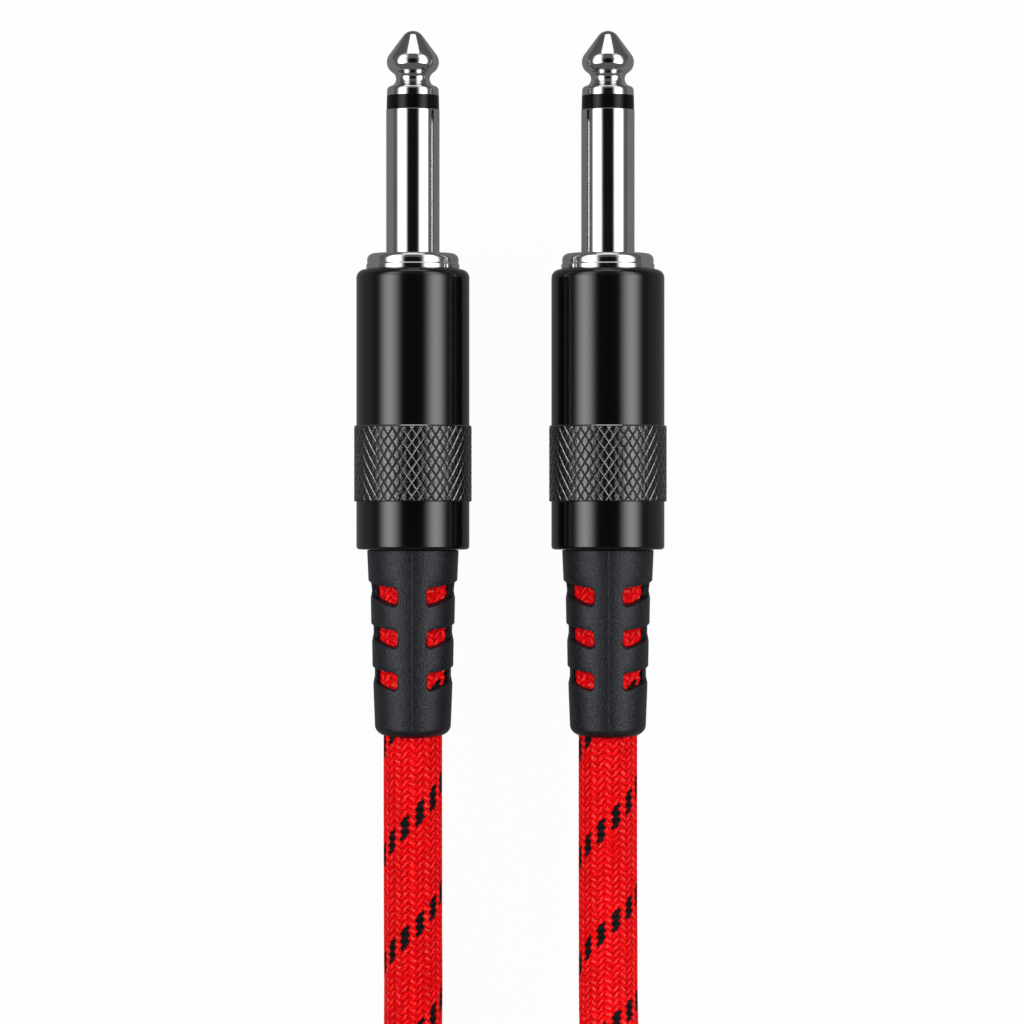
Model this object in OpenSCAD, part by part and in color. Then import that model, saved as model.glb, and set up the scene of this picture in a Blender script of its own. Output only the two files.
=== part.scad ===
// Instrument cable: a woven-jacket cord with a straight two-pole plug on each end.
// Units are millimetres, +Z is up and the floor is z = 0. The origin is on the floor,
// midway between the two plugs. The plugs lie side by side on their knurled bands with
// their tips towards +Y, and the rest of the cord is a tied coil behind them.
//
// Each plug piece is described upright, along the plug's own axis z: its shoulder is
// at z = 0, the tip points up, and the cord leaves it downwards.

/* [Contact pin] */
// Diameter of the sleeve contact
sleeve_d = 6.35; // [6.2:0.01:6.5]
// Length of the sleeve contact in front of the shoulder
sleeve_l = 17.1; // [15:0.1:22]
// Length of the sleeve's thinner shank, which is pressed into the plug body
shank_l = 6; // [4:0.1:7]
// Diameter of that shank
shank_d = 5.6; // [5.2:0.1:5.8]
// Diameter of the black ring between sleeve and tip
ring_d = 6.24; // [6.1:0.01:6.35]
// Length of that ring
ring_l = 1.65; // [1.2:0.05:2.4]
// How far the ring's spigot reaches into the sleeve
ring_spigot_l = 2.1; // [1:0.1:3]
// Wall of the ring's spigot, round the insulating tube
ring_spigot_wall = 0.35; // [0.3:0.05:0.5]
// Length of the tip contact in front of the ring
tip_l = 7.75; // [7.5:0.05:8.5]
// Diameter of the tip's ball
ball_d = 6.21; // [6:0.01:6.35]
// Height of the ball's widest line above the ring
ball_h = 4.03; // [3.9:0.01:4.2]
// Radius of the ball's outline
ball_round = 1.5; // [1.3:0.05:1.6]
// Radius of the rounded point
point_round = 1.44; // [1.2:0.02:1.6]
// Diameter at the bottom of the tip's groove
groove_d = 4.02; // [3.8:0.01:4.3]
// Height of the groove's bottom above the ring
groove_h = 2.02; // [1.9:0.01:2.1]
// Diameter of the tip's land, next to the ring
land_d = 6.13; // [6:0.01:6.3]
// How much the ring and the land each narrow towards the tip, on the radius
contact_taper = 0.03; // [0.01:0.01:0.05]
// Radius of the land's front edge
land_round = 0.5; // [0.3:0.05:0.6]
// Diameter of the rod that runs from the tip to the back
rod_d = 2.2; // [1.8:0.05:2.5]
// Wall of the insulating tube round the rod
tube_wall = 0.75; // [0.5:0.05:0.9]
// Diameter of the rod's peened head
rivet_d = 3; // [2.6:0.1:3.2]
// Height of the rod's peened head
rivet_h = 0.7; // [0.5:0.05:0.9]

/* [Plug body] */
// Diameter of the collar
collar_d = 10.88; // [10.6:0.02:11.6]
// Length of the collar
collar_l = 1.3; // [1:0.05:2]
// Radius of the collar's front edge
collar_round = 0.8; // [0.2:0.05:1]
// Step of the rim behind the collar, on the radius
rim_step = 0.1; // [0.05:0.01:0.2]
// Length of the rim
rim_l = 0.6; // [0.4:0.05:1]
// Outside diameter of the thread
thread_d = 10.6; // [10.2:0.05:10.8]
// Length of the thread
thread_l = 6.5; // [5:0.25:8]
// Length of the spigot behind the thread
spigot_l = 2; // [1.5:0.1:3]

/* [Barrel] */
// Diameter of the barrel
barrel_d = 13.45; // [13.2:0.05:15]
// Length of the barrel
barrel_l = 33.3; // [33:0.1:40]
// Wall of the barrel behind its thread
barrel_wall = 0.8; // [0.6:0.05:1]
// Radius of the barrel's front edge
barrel_front_round = 1; // [0.3:0.05:1.2]
// Radius of the barrel's rear edge
barrel_rear_round = 0.4; // [0.1:0.05:0.5]
// How far the knurled band stands out, on the radius
knurl_step = 0.275; // [0.2:0.025:0.5]
// Distance of the knurled band from the barrel's front
knurl_from = 18.55; // [16:0.05:20]
// Length of the knurled band
knurl_l = 9.05; // [8:0.05:11]
// Bevel of the knurled band's ends
knurl_bevel = 0.2; // [0.1:0.05:0.25]
// Thickness of the barrel's rear lip
lip_t = 1.6; // [1.2:0.1:2]

/* [Boot] */
// Diameter of the boot where it leaves the barrel
boot_d = 10.9; // [10.6:0.05:11.4]
// Length of the boot behind the barrel
boot_l = 22.3; // [21.5:0.1:28]
// Wall of the boot at its mouth
mouth_wall = 0.83; // [0.7:0.01:1]
// Radius of the edge at the boot's mouth
boot_round = 0.7; // [0.4:0.05:0.8]
// How far the boot's shoulders overlap the barrel's lip, on the radius
lip_catch = 0.25; // [0.15:0.05:0.3]
// Thickness of the boot's flange inside the barrel
flange_t = 1.5; // [1:0.1:2]
// Number of slot rows
slot_rows = 3; // [1:1:3]
// Distance of the first slots from the barrel, at the boot's sides
slot_from = 3.55; // [3:0.05:4]
// Distance between slot rows
slot_pitch = 5.08; // [4.5:0.02:5.5]
// Height of a slot at the boot's sides
slot_h = 1.3; // [1:0.05:1.6]
// Slope of a slot's front wall
slot_front_slope = 0.2; // [0.1:0.02:0.3]
// Slope of a slot's rear wall
slot_rear_slope = 0.42; // [0.3:0.02:0.5]
// Width of the spine between left and right slots
spine_w = 3.6; // [3:0.1:4.4]
// How deep the side webs lie below the boot's surface
web_recess = 0.24; // [0.1:0.02:0.3]

/* [Cord] */
// Diameter of the cord
cord_d = 7; // [6.6:0.1:7.2]
// Thickness of the turned-back braid at its front end
cuff_front_t = 0.83; // [0.7:0.01:0.9]
// Thickness of the turned-back braid at its rear end
cuff_rear_t = 0.58; // [0.4:0.01:0.65]
// Diameter of the insulated centre conductor
dielectric_d = 3; // [2.4:0.1:3.4]
// Diameter of the bare centre conductor
conductor_d = 1.16; // [0.8:0.02:1.4]
// Diameter of the twisted shield tail
shield_tail_d = 1.4; // [1:0.1:1.6]

/* [Terminals] */
// Thickness of the terminal strips
strip_t = 0.5; // [0.4:0.05:0.6]
// Thickness of the tip's terminal
lug_t = 0.4; // [0.3:0.05:0.5]
// Width of the tip terminal's tab
lug_w = 2.2; // [1.8:0.1:2.6]
// Diameter of the tip terminal's washer
lug_d = 5.2; // [4.8:0.1:5.6]
// Wall of the rear insulator's boss, round the rod
boss_wall = 1.37; // [1.2:0.05:1.6]
// Diameter of the rear insulator's flange
insulator_d = 6.9; // [6.7:0.1:7]
// Thickness of the rear insulator's flange
insulator_t = 0.6; // [0.4:0.05:0.9]
// Distance from the body's spigot to the end of the cord's jacket
solder_space = 8.6; // [8.4:0.1:10]
// Length of the crimp band round the jacket
crimp_l = 5; // [3.5:0.1:6]
// Angle left open in the crimp band
crimp_gap_angle = 50; // [30:5:90]
// Angle that the ground strip covers
strip_angle = 70; // [50:5:90]
// Wall of the insulating liner
liner_wall = 0.5; // [0.3:0.05:0.6]

/* [Layout] */
// Distance between the two plugs' axes
plug_spacing = 23.2; // [20:0.1:30]

/* [Coil] */
// Distance of the coil's centre behind the origin
coil_back = 140; // [135:1:160]
// Radius of the outermost turn, at the cord's middle
coil_out_r = 42; // [40:0.5:46]
// Least gap wanted between neighbouring turns
coil_gap = 0.45; // [0.42:0.01:1]
// Where the cord enters the coil, as an angle round it
coil_enter_angle = 136; // [130:1:140]
// Whole turns before the cord leaves the coil on the other side
coil_turns = 7; // [6:1:8]
// Width of the strap that ties the coil
tie_w = 14; // [10:1:20]
// Thickness of that strap
tie_t = 1; // [0.8:0.1:1.5]
// Where the strap is, as an angle round the coil
tie_angle = 315; // [300:5:330]

/* [Hidden] */
$fn = 64;

// Clearances
seat_gap = 0.03;     // round pieces that are fitted into each other and stay there
thread_gap = 0.05;   // barrel thread on body thread, on the radius
turn_gap = 0.1;      // barrel on boot, on the radius and lengthwise
slide_gap = 0.15;    // boot on cord, on the radius
cuff_gap = 0.08;     // boot on the turned-back braid, on the radius
loose_gap = 0.15;    // liner round what it covers, on the radius
window_gap = 0.08;   // how far a slot's outer end stays inside the boot's bore

// Radii along the plug
sleeve_r = sleeve_d / 2;
shank_r = shank_d / 2;
shank_cone_l = sleeve_r - shank_r;
rod_r = rod_d / 2;
tube_in_r = rod_r + seat_gap;
tube_out_r = tube_in_r + tube_wall;
ring_spigot_r = tube_out_r + seat_gap + ring_spigot_wall;
collar_r = collar_d / 2;
rim_r = collar_r + rim_step;
thread_r = thread_d / 2;
barrel_thread_r = thread_r + thread_gap;
liner_out_r = thread_r - loose_gap;
liner_in_r = liner_out_r - liner_wall;
spigot_r = liner_in_r - loose_gap;
boss_r = tube_in_r + boss_wall;
barrel_r = barrel_d / 2;
barrel_bore_r = barrel_r - barrel_wall;
knurl_r = barrel_r + knurl_step;
boot_r = boot_d / 2;
lip_r = boot_r - lip_catch;
cord_r = cord_d / 2;
mouth_r = cord_r + slide_gap;
boot_end_r = mouth_r + mouth_wall;
strip_in_r = cord_r + 2 * seat_gap;
strip_out_r = strip_in_r + strip_t;

// Heights along the plug, from its shoulder
ring_z = sleeve_l;
tip_z = ring_z + ring_l;
point_z = tip_z + tip_l;
rim_z = -collar_l;
seat_z = rim_z - rim_l;
thread_end_z = seat_z - thread_l;
spigot_end_z = thread_end_z - spigot_l;
ground_z = spigot_end_z - strip_t;
insulator_z = ground_z - insulator_t;
lug_z = insulator_z - lug_t;
jacket_z = spigot_end_z - solder_space;
crimp_end_z = jacket_z - crimp_l;
barrel_end_z = seat_z - barrel_l;
knurl_z = seat_z - knurl_from;
flange_z = barrel_end_z + lip_t + turn_gap / 2 + flange_t;
liner_end_z = flange_z + 0.5;
boot_end_z = barrel_end_z - boot_l;
slot_z = barrel_end_z - slot_from;
last_slot_end_z = slot_z - (slot_rows - 1) * slot_pitch - slot_h - slot_rear_slope * boot_r;
cuff_front_z = flange_z + 0.6;
cuff_rear_z = last_slot_end_z - 0.4;
mouth_z = cuff_rear_z - 0.4;

// The joint of the tip's terminal: where its tab starts and ends
tab_y = conductor_d / 2 + 0.02;
leg_y = rivet_d / 2 + 0.2;
tab_z = lug_z - rivet_h - 1.2;
tab_end_z = tab_z - 3.7;

// Placing
axis_h = knurl_r;
plug_l = point_z - boot_end_z;
shoulder_y = plug_l / 2 - point_z;
SIDES = [-1, 1];
PLUGS = ["plug_a", "plug_b"];
PLUG_PARTS = ["tip", "tip_insulator", "core_tube", "sleeve", "plug_body", "rear_insulator",
    "ground_clamp", "tip_lug", "inner_sleeve", "core_conductor", "dielectric", "shield_tail",
    "tip_solder", "ground_solder", "cord_end", "braid_cuff", "barrel", "boot"];

// Colours
nickel = "#c9cacc";
brass = "#b89a5a";
tin = "#a8aaad";
satin_black = "#1b1b1d";
rubber_black = "#2b2c30";
plastic_black = "#0c0c0d";
plastic_white = "#e6e4dc";
copper = "#b8714a";
jacket_red = "#e3151b";

// ---------------------------------------------------------------- outline helpers

// Points of an arc from angle a0 to a1 about the centre c
function arc(c, r, a0, a1, n = 6) =
    [for (i = [0:n]) let(a = a0 + (a1 - a0) * i / n) c + r * [cos(a), sin(a)]];

// A tube along z from z0 up to z1
module tube(z0, z1, out_r, in_r) {
    rotate_extrude()
        translate([in_r, z0])
            square([out_r - in_r, z1 - z0]);
}

// A solid rod along z from z0 up to z1
module rod(z0, z1, r) {
    translate([0, 0, z0])
        cylinder(h = z1 - z0, r = r);
}

// Part of a tube, covering an angle about +Y
module tube_sector(z0, z1, out_r, in_r, angle) {
    rotate([0, 0, 90 - angle / 2])
        rotate_extrude(angle = angle)
            translate([in_r, z0])
                square([out_r - in_r, z1 - z0]);
}

// ---------------------------------------------------------------- contact pin

ball_c = [ball_d / 2 - ball_round, tip_z + ball_h];
point_c = [0, point_z - point_round];
// The groove's outline is an arc that touches the ball's arc
groove_reach = groove_d / 2 - ball_c[0];
groove_drop = ball_h - groove_h;
groove_round = (groove_reach ^ 2 + groove_drop ^ 2 - ball_round ^ 2)
    / (2 * (ball_round - groove_reach));
groove_c = [groove_d / 2 + groove_round, tip_z + groove_h];
// The land's front edge is an arc that touches the groove's arc
land_c_r = land_d / 2 - land_round;
land_drop = sqrt((groove_round + land_round) ^ 2 - (groove_c[0] - land_c_r) ^ 2);
land_c = [land_c_r, groove_c[1] - land_drop];
// The cone is the line that touches both the point's arc and the ball's arc
cone_run = ball_c - point_c;
cone_angle = atan2(cone_run[1], cone_run[0])
    + acos((point_round - ball_round) / norm(cone_run));
ball_to_groove = atan2(groove_c[1] - ball_c[1], groove_c[0] - ball_c[0]);
land_to_groove = atan2(groove_c[1] - land_c[1], groove_c[0] - land_c[0]);

module tip() {
    color(nickel) {
        rotate_extrude()
            polygon(concat(
                [[0, tip_z], [land_d / 2 + contact_taper, tip_z]],
                arc(land_c, land_round, 0, land_to_groove, 4),
                arc(groove_c, groove_round, 180 + land_to_groove, 180 + ball_to_groove, 8),
                arc(ball_c, ball_round, ball_to_groove, cone_angle, 10),
                arc(point_c, point_round, cone_angle, 90, 6)
            ));
        rod(lug_z - 0.05, tip_z + 0.5, rod_r);
        rod(lug_z - rivet_h, lug_z, rivet_d / 2);
    }
}

module tip_insulator() {
    color(plastic_black) {
        rotate_extrude()
            polygon([[tube_in_r, ring_z], [ring_d / 2 + contact_taper / 2, ring_z],
                     [ring_d / 2 - contact_taper / 2, tip_z], [tube_in_r, tip_z]]);
        tube(ring_z - ring_spigot_l, ring_z, ring_spigot_r, tube_out_r + seat_gap);
    }
}

module core_tube() {
    color(plastic_white)
        tube(insulator_z + insulator_t + strip_t + spigot_l + 2, ring_z, tube_out_r, tube_in_r);
}

// The sleeve seats on a cone at the shoulder, with its shank in the body
module sleeve() {
    color(nickel)
        difference() {
            rotate_extrude()
                polygon([[0, -shank_l], [shank_r, -shank_l], [shank_r, -shank_cone_l],
                         [sleeve_r, 0], [sleeve_r, sleeve_l], [0, sleeve_l]]);
            rod(-shank_l - 1, sleeve_l + 1, tube_out_r + seat_gap);
            rod(ring_z - ring_spigot_l - seat_gap, sleeve_l + 1, ring_spigot_r + seat_gap);
        }
}

// ---------------------------------------------------------------- plug body

module plug_body() {
    color(nickel)
        difference() {
            rotate_extrude()
                polygon(concat(
                    [[0, 0]],
                    arc([collar_r - collar_round, -collar_round], collar_round, 90, 0),
                    [[collar_r, rim_z], [rim_r, rim_z], [rim_r, seat_z], [thread_r, seat_z],
                     [thread_r, thread_end_z], [spigot_r, thread_end_z],
                     [spigot_r, spigot_end_z], [0, spigot_end_z]]
                ));
            rotate_extrude()
                polygon([[0, -shank_l], [shank_r + seat_gap, -shank_l],
                         [shank_r + seat_gap, -shank_cone_l], [sleeve_r + seat_gap, 0],
                         [sleeve_r + seat_gap, 1], [0, 1]]);
            rod(spigot_end_z - 1, 0, boss_r + seat_gap);
        }
}

module rear_insulator() {
    color(plastic_white) {
        tube(ground_z, -shank_l - 0.5, boss_r, tube_in_r);
        tube(insulator_z, ground_z, insulator_d / 2, tube_in_r);
    }
}

// ---------------------------------------------------------------- terminals

// A washer against the body, and a strip from it that widens into the crimp band
module ground_clamp() {
    strip_top_z = ground_z + strip_t / 2;
    color(brass) {
        tube(ground_z, spigot_end_z, spigot_r, boss_r + seat_gap);
        difference() {
            tube_sector(crimp_end_z, strip_top_z, strip_out_r, strip_in_r, 360 - crimp_gap_angle);
            rotate([0, 0, 180])
                tube_sector(jacket_z, ground_z + 1, strip_out_r + 1, strip_in_r - 1,
                    360 - strip_angle);
        }
    }
}

module tip_lug() {
    color(brass) {
        tube(lug_z, insulator_z, lug_d / 2, tube_in_r);
        translate([-lug_w / 2, -leg_y - lug_t, tab_z])
            cube([lug_w, lug_t, lug_z - tab_z + lug_t]);
        translate([-lug_w / 2, -leg_y - lug_t, tab_z])
            cube([lug_w, leg_y + lug_t - tab_y, lug_t]);
        translate([-lug_w / 2, -tab_y - lug_t, tab_end_z])
            cube([lug_w, lug_t, tab_z - tab_end_z + lug_t]);
    }
}

module tip_solder() {
    color(tin)
        difference() {
            translate([0, 0, (tab_z + tab_end_z) / 2])
                sphere(r = conductor_d / 2 + 0.6);
            rod(tab_end_z - 2, tab_z + 2, conductor_d / 2);
            translate([-3, -3 - tab_y, tab_end_z - 1])
                cube([6, 3, tab_z - tab_end_z + 2]);
        }
}

module ground_solder() {
    color(tin)
        intersection() {
            difference() {
                translate([0, shield_tail_y, jacket_z + 3.1])
                    sphere(r = shield_tail_d / 2 + 0.4);
                translate([0, shield_tail_y, 0])
                    rod(jacket_z, jacket_z + 6, shield_tail_d / 2);
            }
            rod(jacket_z, jacket_z + 6, strip_in_r);
        }
}

// ---------------------------------------------------------------- cord inside the plug

shield_tail_y = cord_r - shield_tail_d / 2 - 0.05;

module core_conductor() {
    color(copper)
        rod(jacket_z - 3, tab_z - 0.1, conductor_d / 2);
}

module dielectric() {
    color(plastic_white)
        tube(jacket_z - 3, jacket_z + 1, dielectric_d / 2, conductor_d / 2 + seat_gap);
}

module shield_tail() {
    color(copper)
        translate([0, shield_tail_y, 0])
            rod(jacket_z, jacket_z + 4, shield_tail_d / 2);
}

module cord_end() {
    color(jacket_red)
        difference() {
            rod(boot_end_z, jacket_z, cord_r);
            rod(jacket_z - 3, jacket_z + 1, dielectric_d / 2 + seat_gap);
        }
}

// The braid's outside narrows from front to rear, and the boot's bore follows it
function cuff_r(z) = cord_r + cuff_rear_t
    + (cuff_front_t - cuff_rear_t) * (z - cuff_rear_z) / (cuff_front_z - cuff_rear_z);
function bore_r(z) = cuff_r(z) + cuff_gap;

module braid_cuff() {
    color(jacket_red)
        rotate_extrude()
            polygon([[cord_r + seat_gap, cuff_rear_z], [cuff_r(cuff_rear_z), cuff_rear_z],
                     [cuff_r(cuff_front_z), cuff_front_z], [cord_r + seat_gap, cuff_front_z]]);
}

module inner_sleeve() {
    color(plastic_black)
        tube(liner_end_z, thread_end_z, liner_out_r, liner_in_r);
}

// ---------------------------------------------------------------- barrel

module barrel() {
    knurl_end_z = knurl_z - knurl_l;
    thread_bore_z = seat_z - thread_l;
    color(satin_black)
        rotate_extrude()
            polygon(concat(
                [[barrel_thread_r, thread_bore_z], [barrel_thread_r, seat_z]],
                arc([barrel_r - barrel_front_round, seat_z - barrel_front_round],
                    barrel_front_round, 90, 0),
                [[barrel_r, knurl_z], [knurl_r - knurl_bevel, knurl_z],
                 [knurl_r, knurl_z - knurl_bevel], [knurl_r, knurl_end_z + knurl_bevel],
                 [knurl_r - knurl_bevel, knurl_end_z], [barrel_r, knurl_end_z]],
                arc([barrel_r - barrel_rear_round, barrel_end_z + barrel_rear_round],
                    barrel_rear_round, 0, -90),
                [[lip_r, barrel_end_z], [lip_r, barrel_end_z + lip_t],
                 [barrel_bore_r, barrel_end_z + lip_t], [barrel_bore_r, thread_bore_z]]
            ));
}

// ---------------------------------------------------------------- boot

// The boot's outside narrows evenly from the barrel to its mouth
function boot_out_r(z) = boot_end_r
    + (boot_r - boot_end_r) * (z - boot_end_z) / (barrel_end_z - boot_end_z);

module boot_shell() {
    neck_r = lip_r - turn_gap;
    flange_r = barrel_bore_r - turn_gap;
    tail_z = barrel_end_z - turn_gap / 2;
    lip_top_z = barrel_end_z + lip_t + turn_gap / 2;
    rotate_extrude()
        polygon(concat(
            [[bore_r(flange_z), flange_z], [flange_r, flange_z], [flange_r, lip_top_z],
             [neck_r, lip_top_z], [neck_r, tail_z], [boot_out_r(tail_z), tail_z]],
            arc([boot_out_r(boot_end_z + boot_round) - boot_round, boot_end_z + boot_round],
                boot_round, 0, -90, 5),
            [[mouth_r, boot_end_z], [mouth_r, mouth_z], [bore_r(cuff_rear_z), cuff_rear_z - 0.1]]
        ));
}

// One slot on the +X side, open to the front and the back. A thin web closes its outer
// end a little below the boot's surface.
module slot(z) {
    far = 2 * boot_r;
    window_x = bore_r(z - slot_h) - window_gap;
    web_r = boot_out_r(z - slot_h / 2) - web_recess;
    difference() {
        translate([spine_w / 2, 0, 0])
            rotate([90, 0, 90])
                linear_extrude(height = far)
                    polygon([
                        [0, z], [far, z - slot_front_slope * far],
                        [far, z - slot_h - slot_rear_slope * far], [0, z - slot_h],
                        [-far, z - slot_h - slot_rear_slope * far],
                        [-far, z - slot_front_slope * far]
                    ]);
        intersection() {
            rod(z - far, z + 1, web_r);
            translate([window_x, -far, z - far])
                cube([far, 2 * far, far + 1]);
        }
    }
}

module boot() {
    color(rubber_black)
        difference() {
            boot_shell();
            for (row = [0:slot_rows - 1])
                for (side = [0, 180])
                    rotate([0, 0, side])
                        slot(slot_z - row * slot_pitch);
        }
}

// ---------------------------------------------------------------- free cord

function unit(v) = v / norm(v);

// A ring of n points of radius r about p, square to the direction t
function ring_about(p, t, r, n) =
    let(side = unit(cross(t, [0, 0, 1])), up = cross(side, t))
    [for (k = [0:n - 1]) let(a = 360 * k / n - 90) p + r * (cos(a) * side + sin(a) * up)];

// One closed tube along the points. Its first end is square to its first stretch, and its
// last end square to the direction given.
module cord_tube(points, n, end_dir) {
    last = len(points) - 1;
    rings = [for (i = [0:last])
        let(t = i == last ? end_dir : unit(points[i + 1] - points[max(i - 1, 0)]))
        ring_about(points[i], t, cord_r, n)];
    sides = [for (i = [0:last - 1]) for (k = [0:n - 1])
        let(a = i * n + k, b = i * n + (k + 1) % n)
        each [[a, a + n, b], [b, a + n, b + n]]];
    first_end = [for (k = [1:n - 2]) [0, k, k + 1]];
    last_end = [for (k = [1:n - 2]) let(a = last * n) [a, a + k + 1, a + k]];
    polyhedron(
        points = [for (ring = rings) each ring],
        faces = concat(sides, first_end, last_end)
    );
}

// The coil: four layers, spiralling in, out, in and out again. The cord climbs a layer
// in the half turn where the spiral reverses, and rises a little where it crosses the tie.
layers = 4;
coil_pitch = cord_d + coil_gap;
coil_sweep = 360 * coil_turns - 2 * (coil_enter_angle - 90);
layer_sweep = coil_sweep / layers;
coil_in_r = coil_out_r - coil_pitch * layer_sweep / 360;
tie_lift = 1.3 * tie_t;
rings_per_turn = 24;
coil_steps = round(coil_sweep / 360 * rings_per_turn);
stub_l = cord_d;

function ease(x) = let(c = min(max(x, 0), 1)) c * c * (3 - 2 * c);
function coil_r(t) =
    let(u = t / layer_sweep, fall = abs((u + 1) % 2 - 1))
    coil_out_r - (coil_out_r - coil_in_r) * fall;
function coil_layer(t) =
    ease((t - layer_sweep) / 180 + 0.5) + ease((t - 2 * layer_sweep) / 180 + 0.5)
    + ease((t - 3 * layer_sweep) / 180 + 0.5);
function coil_lift(a) = tie_lift * max(0, cos(a - tie_angle)) ^ 4;
function coil_point(t) =
    let(a = coil_enter_angle + t, r = coil_r(t))
    [r * cos(a), r * sin(a) - coil_back, cord_r + coil_pitch * coil_layer(t) + coil_lift(a)];

// Both ends of the coil run on straight for one cord diameter. The upper one leaves
// slightly downhill.
drift = atan(coil_pitch / (2 * PI * coil_out_r));
enter_dir = let(a = coil_enter_angle + 90 + drift) [cos(a), sin(a), 0];
leave_dir = unit([enter_dir[0], -enter_dir[1], -0.1]);
coil_start = coil_point(0) - stub_l * enter_dir;
coil_finish = coil_point(coil_sweep) + stub_l * leave_dir;
coil_points = concat(
    [coil_start],
    [for (i = [0:coil_steps]) coil_point(coil_sweep * i / coil_steps)],
    [coil_finish]
);

// The least gap between the coil's turns, measured between points 5 degrees apart
coil_probe = 5;
turn_distances = [for (t = [0:coil_probe:coil_sweep]) for (k = [1:coil_turns])
    for (offset = [-1:1]) let(other = t + 360 * k + coil_probe * offset)
    if (other <= coil_sweep) norm(coil_point(t) - coil_point(other))];
echo(least_gap_mm = min(turn_distances) - cord_d);

// The free stretches at the plugs: chosen points on the floor side of each plug. Each
// route ends where the coil starts or finishes.
x_plug = plug_spacing / 2;
y_boot = shoulder_y + boot_end_z;
route_a = [[-11.6, -42, 7], [-11.6, -50, 7], [-11.6, -58, 6.7], [-11.6, -66, 5.9],
    [-11.6, -74, 4.9], [-11.8, -80, 4.1], [-12.8, -86, 3.7], [-14.6, -91, 3.5],
    [-17.3, -96, 3.5], [-20.8, -100.5, 3.5]];
route_b = [[11.6, -42, 7], [11.6, -50, 7], [11.6, -58, 7.1], [11.6, -66, 8.3],
    [11.6, -74, 10.7], [11.8, -80, 13.4], [12.8, -86, 17.1], [14.6, -91, 20.1],
    [17.3, -96, 22.6], [20.8, -100.5, 24.4]];
lead_sides = 10;

// The length of the cord between the two boots
function sum(v) = v * [for (x = v) 1];
function route_length(p) = sum([for (i = [1:len(p) - 1]) norm(p[i] - p[i - 1])]);
echo(cord_length_mm = route_length(concat(route_a, coil_points))
    + route_length(concat(route_b, [coil_finish])));

module lead_a() {
    color(jacket_red)
        cord_tube(concat(route_a, [coil_start]), lead_sides, enter_dir);
}

module lead_b() {
    color(jacket_red)
        cord_tube(concat(route_b, [coil_finish]), lead_sides, -leave_dir);
}

module coil() {
    color(jacket_red)
        cord_tube(coil_points, 6, leave_dir);
}

// ---------------------------------------------------------------- tie

// The radii of the turns that the strap goes round
tied_r = [for (k = [0:coil_turns]) let(t = (tie_angle - coil_enter_angle) + 360 * k)
    if (t >= 0 && t <= coil_sweep) coil_r(t)];
tie_gap = 0.3;
tie_in = min(tied_r) - cord_r - tie_gap;
tie_inner_x = sqrt(tie_in ^ 2 - (tie_w / 2) ^ 2);
tie_outer_x = max(tied_r) + cord_r + tie_gap;
tie_top_z = tie_lift + cord_d + (layers - 1) * coil_pitch + tie_gap;
tie_round = 4;

module rounded(x0, x1, z0, z1, r) {
    translate([x0 + r, z0]) square([x1 - x0 - 2 * r, z1 - z0]);
    translate([x0, z0 + r]) square([x1 - x0, z1 - z0 - 2 * r]);
    for (x = [x0 + r, x1 - r]) for (z = [z0 + r, z1 - r])
        translate([x, z]) circle(r = r);
}

module cord_tie() {
    color(satin_black)
        translate([0, -coil_back, 0])
            rotate([0, 0, tie_angle])
                rotate([90, 0, 0])
                    linear_extrude(height = tie_w, center = true)
                        difference() {
                            rounded(tie_inner_x - tie_t, tie_outer_x + tie_t, 0,
                                tie_top_z + tie_t, tie_round + tie_t);
                            rounded(tie_inner_x, tie_outer_x, tie_t, tie_top_z, tie_round);
                        }
}

// ---------------------------------------------------------------- assembly

// Lays a plug piece down on its knurled band, tip towards +Y
module lay(side) {
    translate([side * x_plug, shoulder_y, axis_h])
        rotate([-90, 0, 0])
            children();
}

for (i = [0, 1]) {
    side = SIDES[i];
    plug = PLUGS[i];
    lay(side) tip();
    lay(side) tip_insulator();
    lay(side) core_tube();
    lay(side) sleeve();
    lay(side) plug_body();
    lay(side) rear_insulator();
    lay(side) ground_clamp();
    lay(side) tip_lug();
    lay(side) inner_sleeve();
    lay(side) core_conductor();
    lay(side) dielectric();
    lay(side) shield_tail();
    lay(side) tip_solder();
    lay(side) ground_solder();
    lay(side) cord_end();
    lay(side) braid_cuff();
    lay(side) barrel();
    lay(side) boot();
}
lead_a();
coil();
lead_b();
cord_tie();
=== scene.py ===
"""An instrument cable with two straight plugs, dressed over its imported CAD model."""
import math

import bpy
from mathutils import Matrix, Vector


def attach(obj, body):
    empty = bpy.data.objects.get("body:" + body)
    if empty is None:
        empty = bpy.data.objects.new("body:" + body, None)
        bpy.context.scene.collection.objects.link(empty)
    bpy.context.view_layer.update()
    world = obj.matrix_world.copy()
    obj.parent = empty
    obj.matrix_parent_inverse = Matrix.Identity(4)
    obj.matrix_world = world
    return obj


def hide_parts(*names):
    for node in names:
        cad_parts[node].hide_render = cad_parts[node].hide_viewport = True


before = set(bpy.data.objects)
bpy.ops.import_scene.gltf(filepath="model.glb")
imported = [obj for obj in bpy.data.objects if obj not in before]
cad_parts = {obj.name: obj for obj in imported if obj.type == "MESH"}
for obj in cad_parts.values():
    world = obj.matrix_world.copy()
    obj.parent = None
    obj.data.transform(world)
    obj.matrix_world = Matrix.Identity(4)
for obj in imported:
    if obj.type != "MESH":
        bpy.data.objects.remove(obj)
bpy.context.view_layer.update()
scene = bpy.context.scene

MM = 0.001
PLUG_X = 11.6          # each plug's axis lies this far from the middle, mm
AXIS_H = 7.0           # height of the plugs' axes, mm
SHOULDER_Y = 15.5      # where the plugs' shoulders are, mm
PLUGS = (("plug_a", -PLUG_X), ("plug_b", PLUG_X))


def add_object(name, data):
    """Adds an object to the scene."""
    new = bpy.data.objects.new(name, data)
    scene.collection.objects.link(new)
    return new


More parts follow.
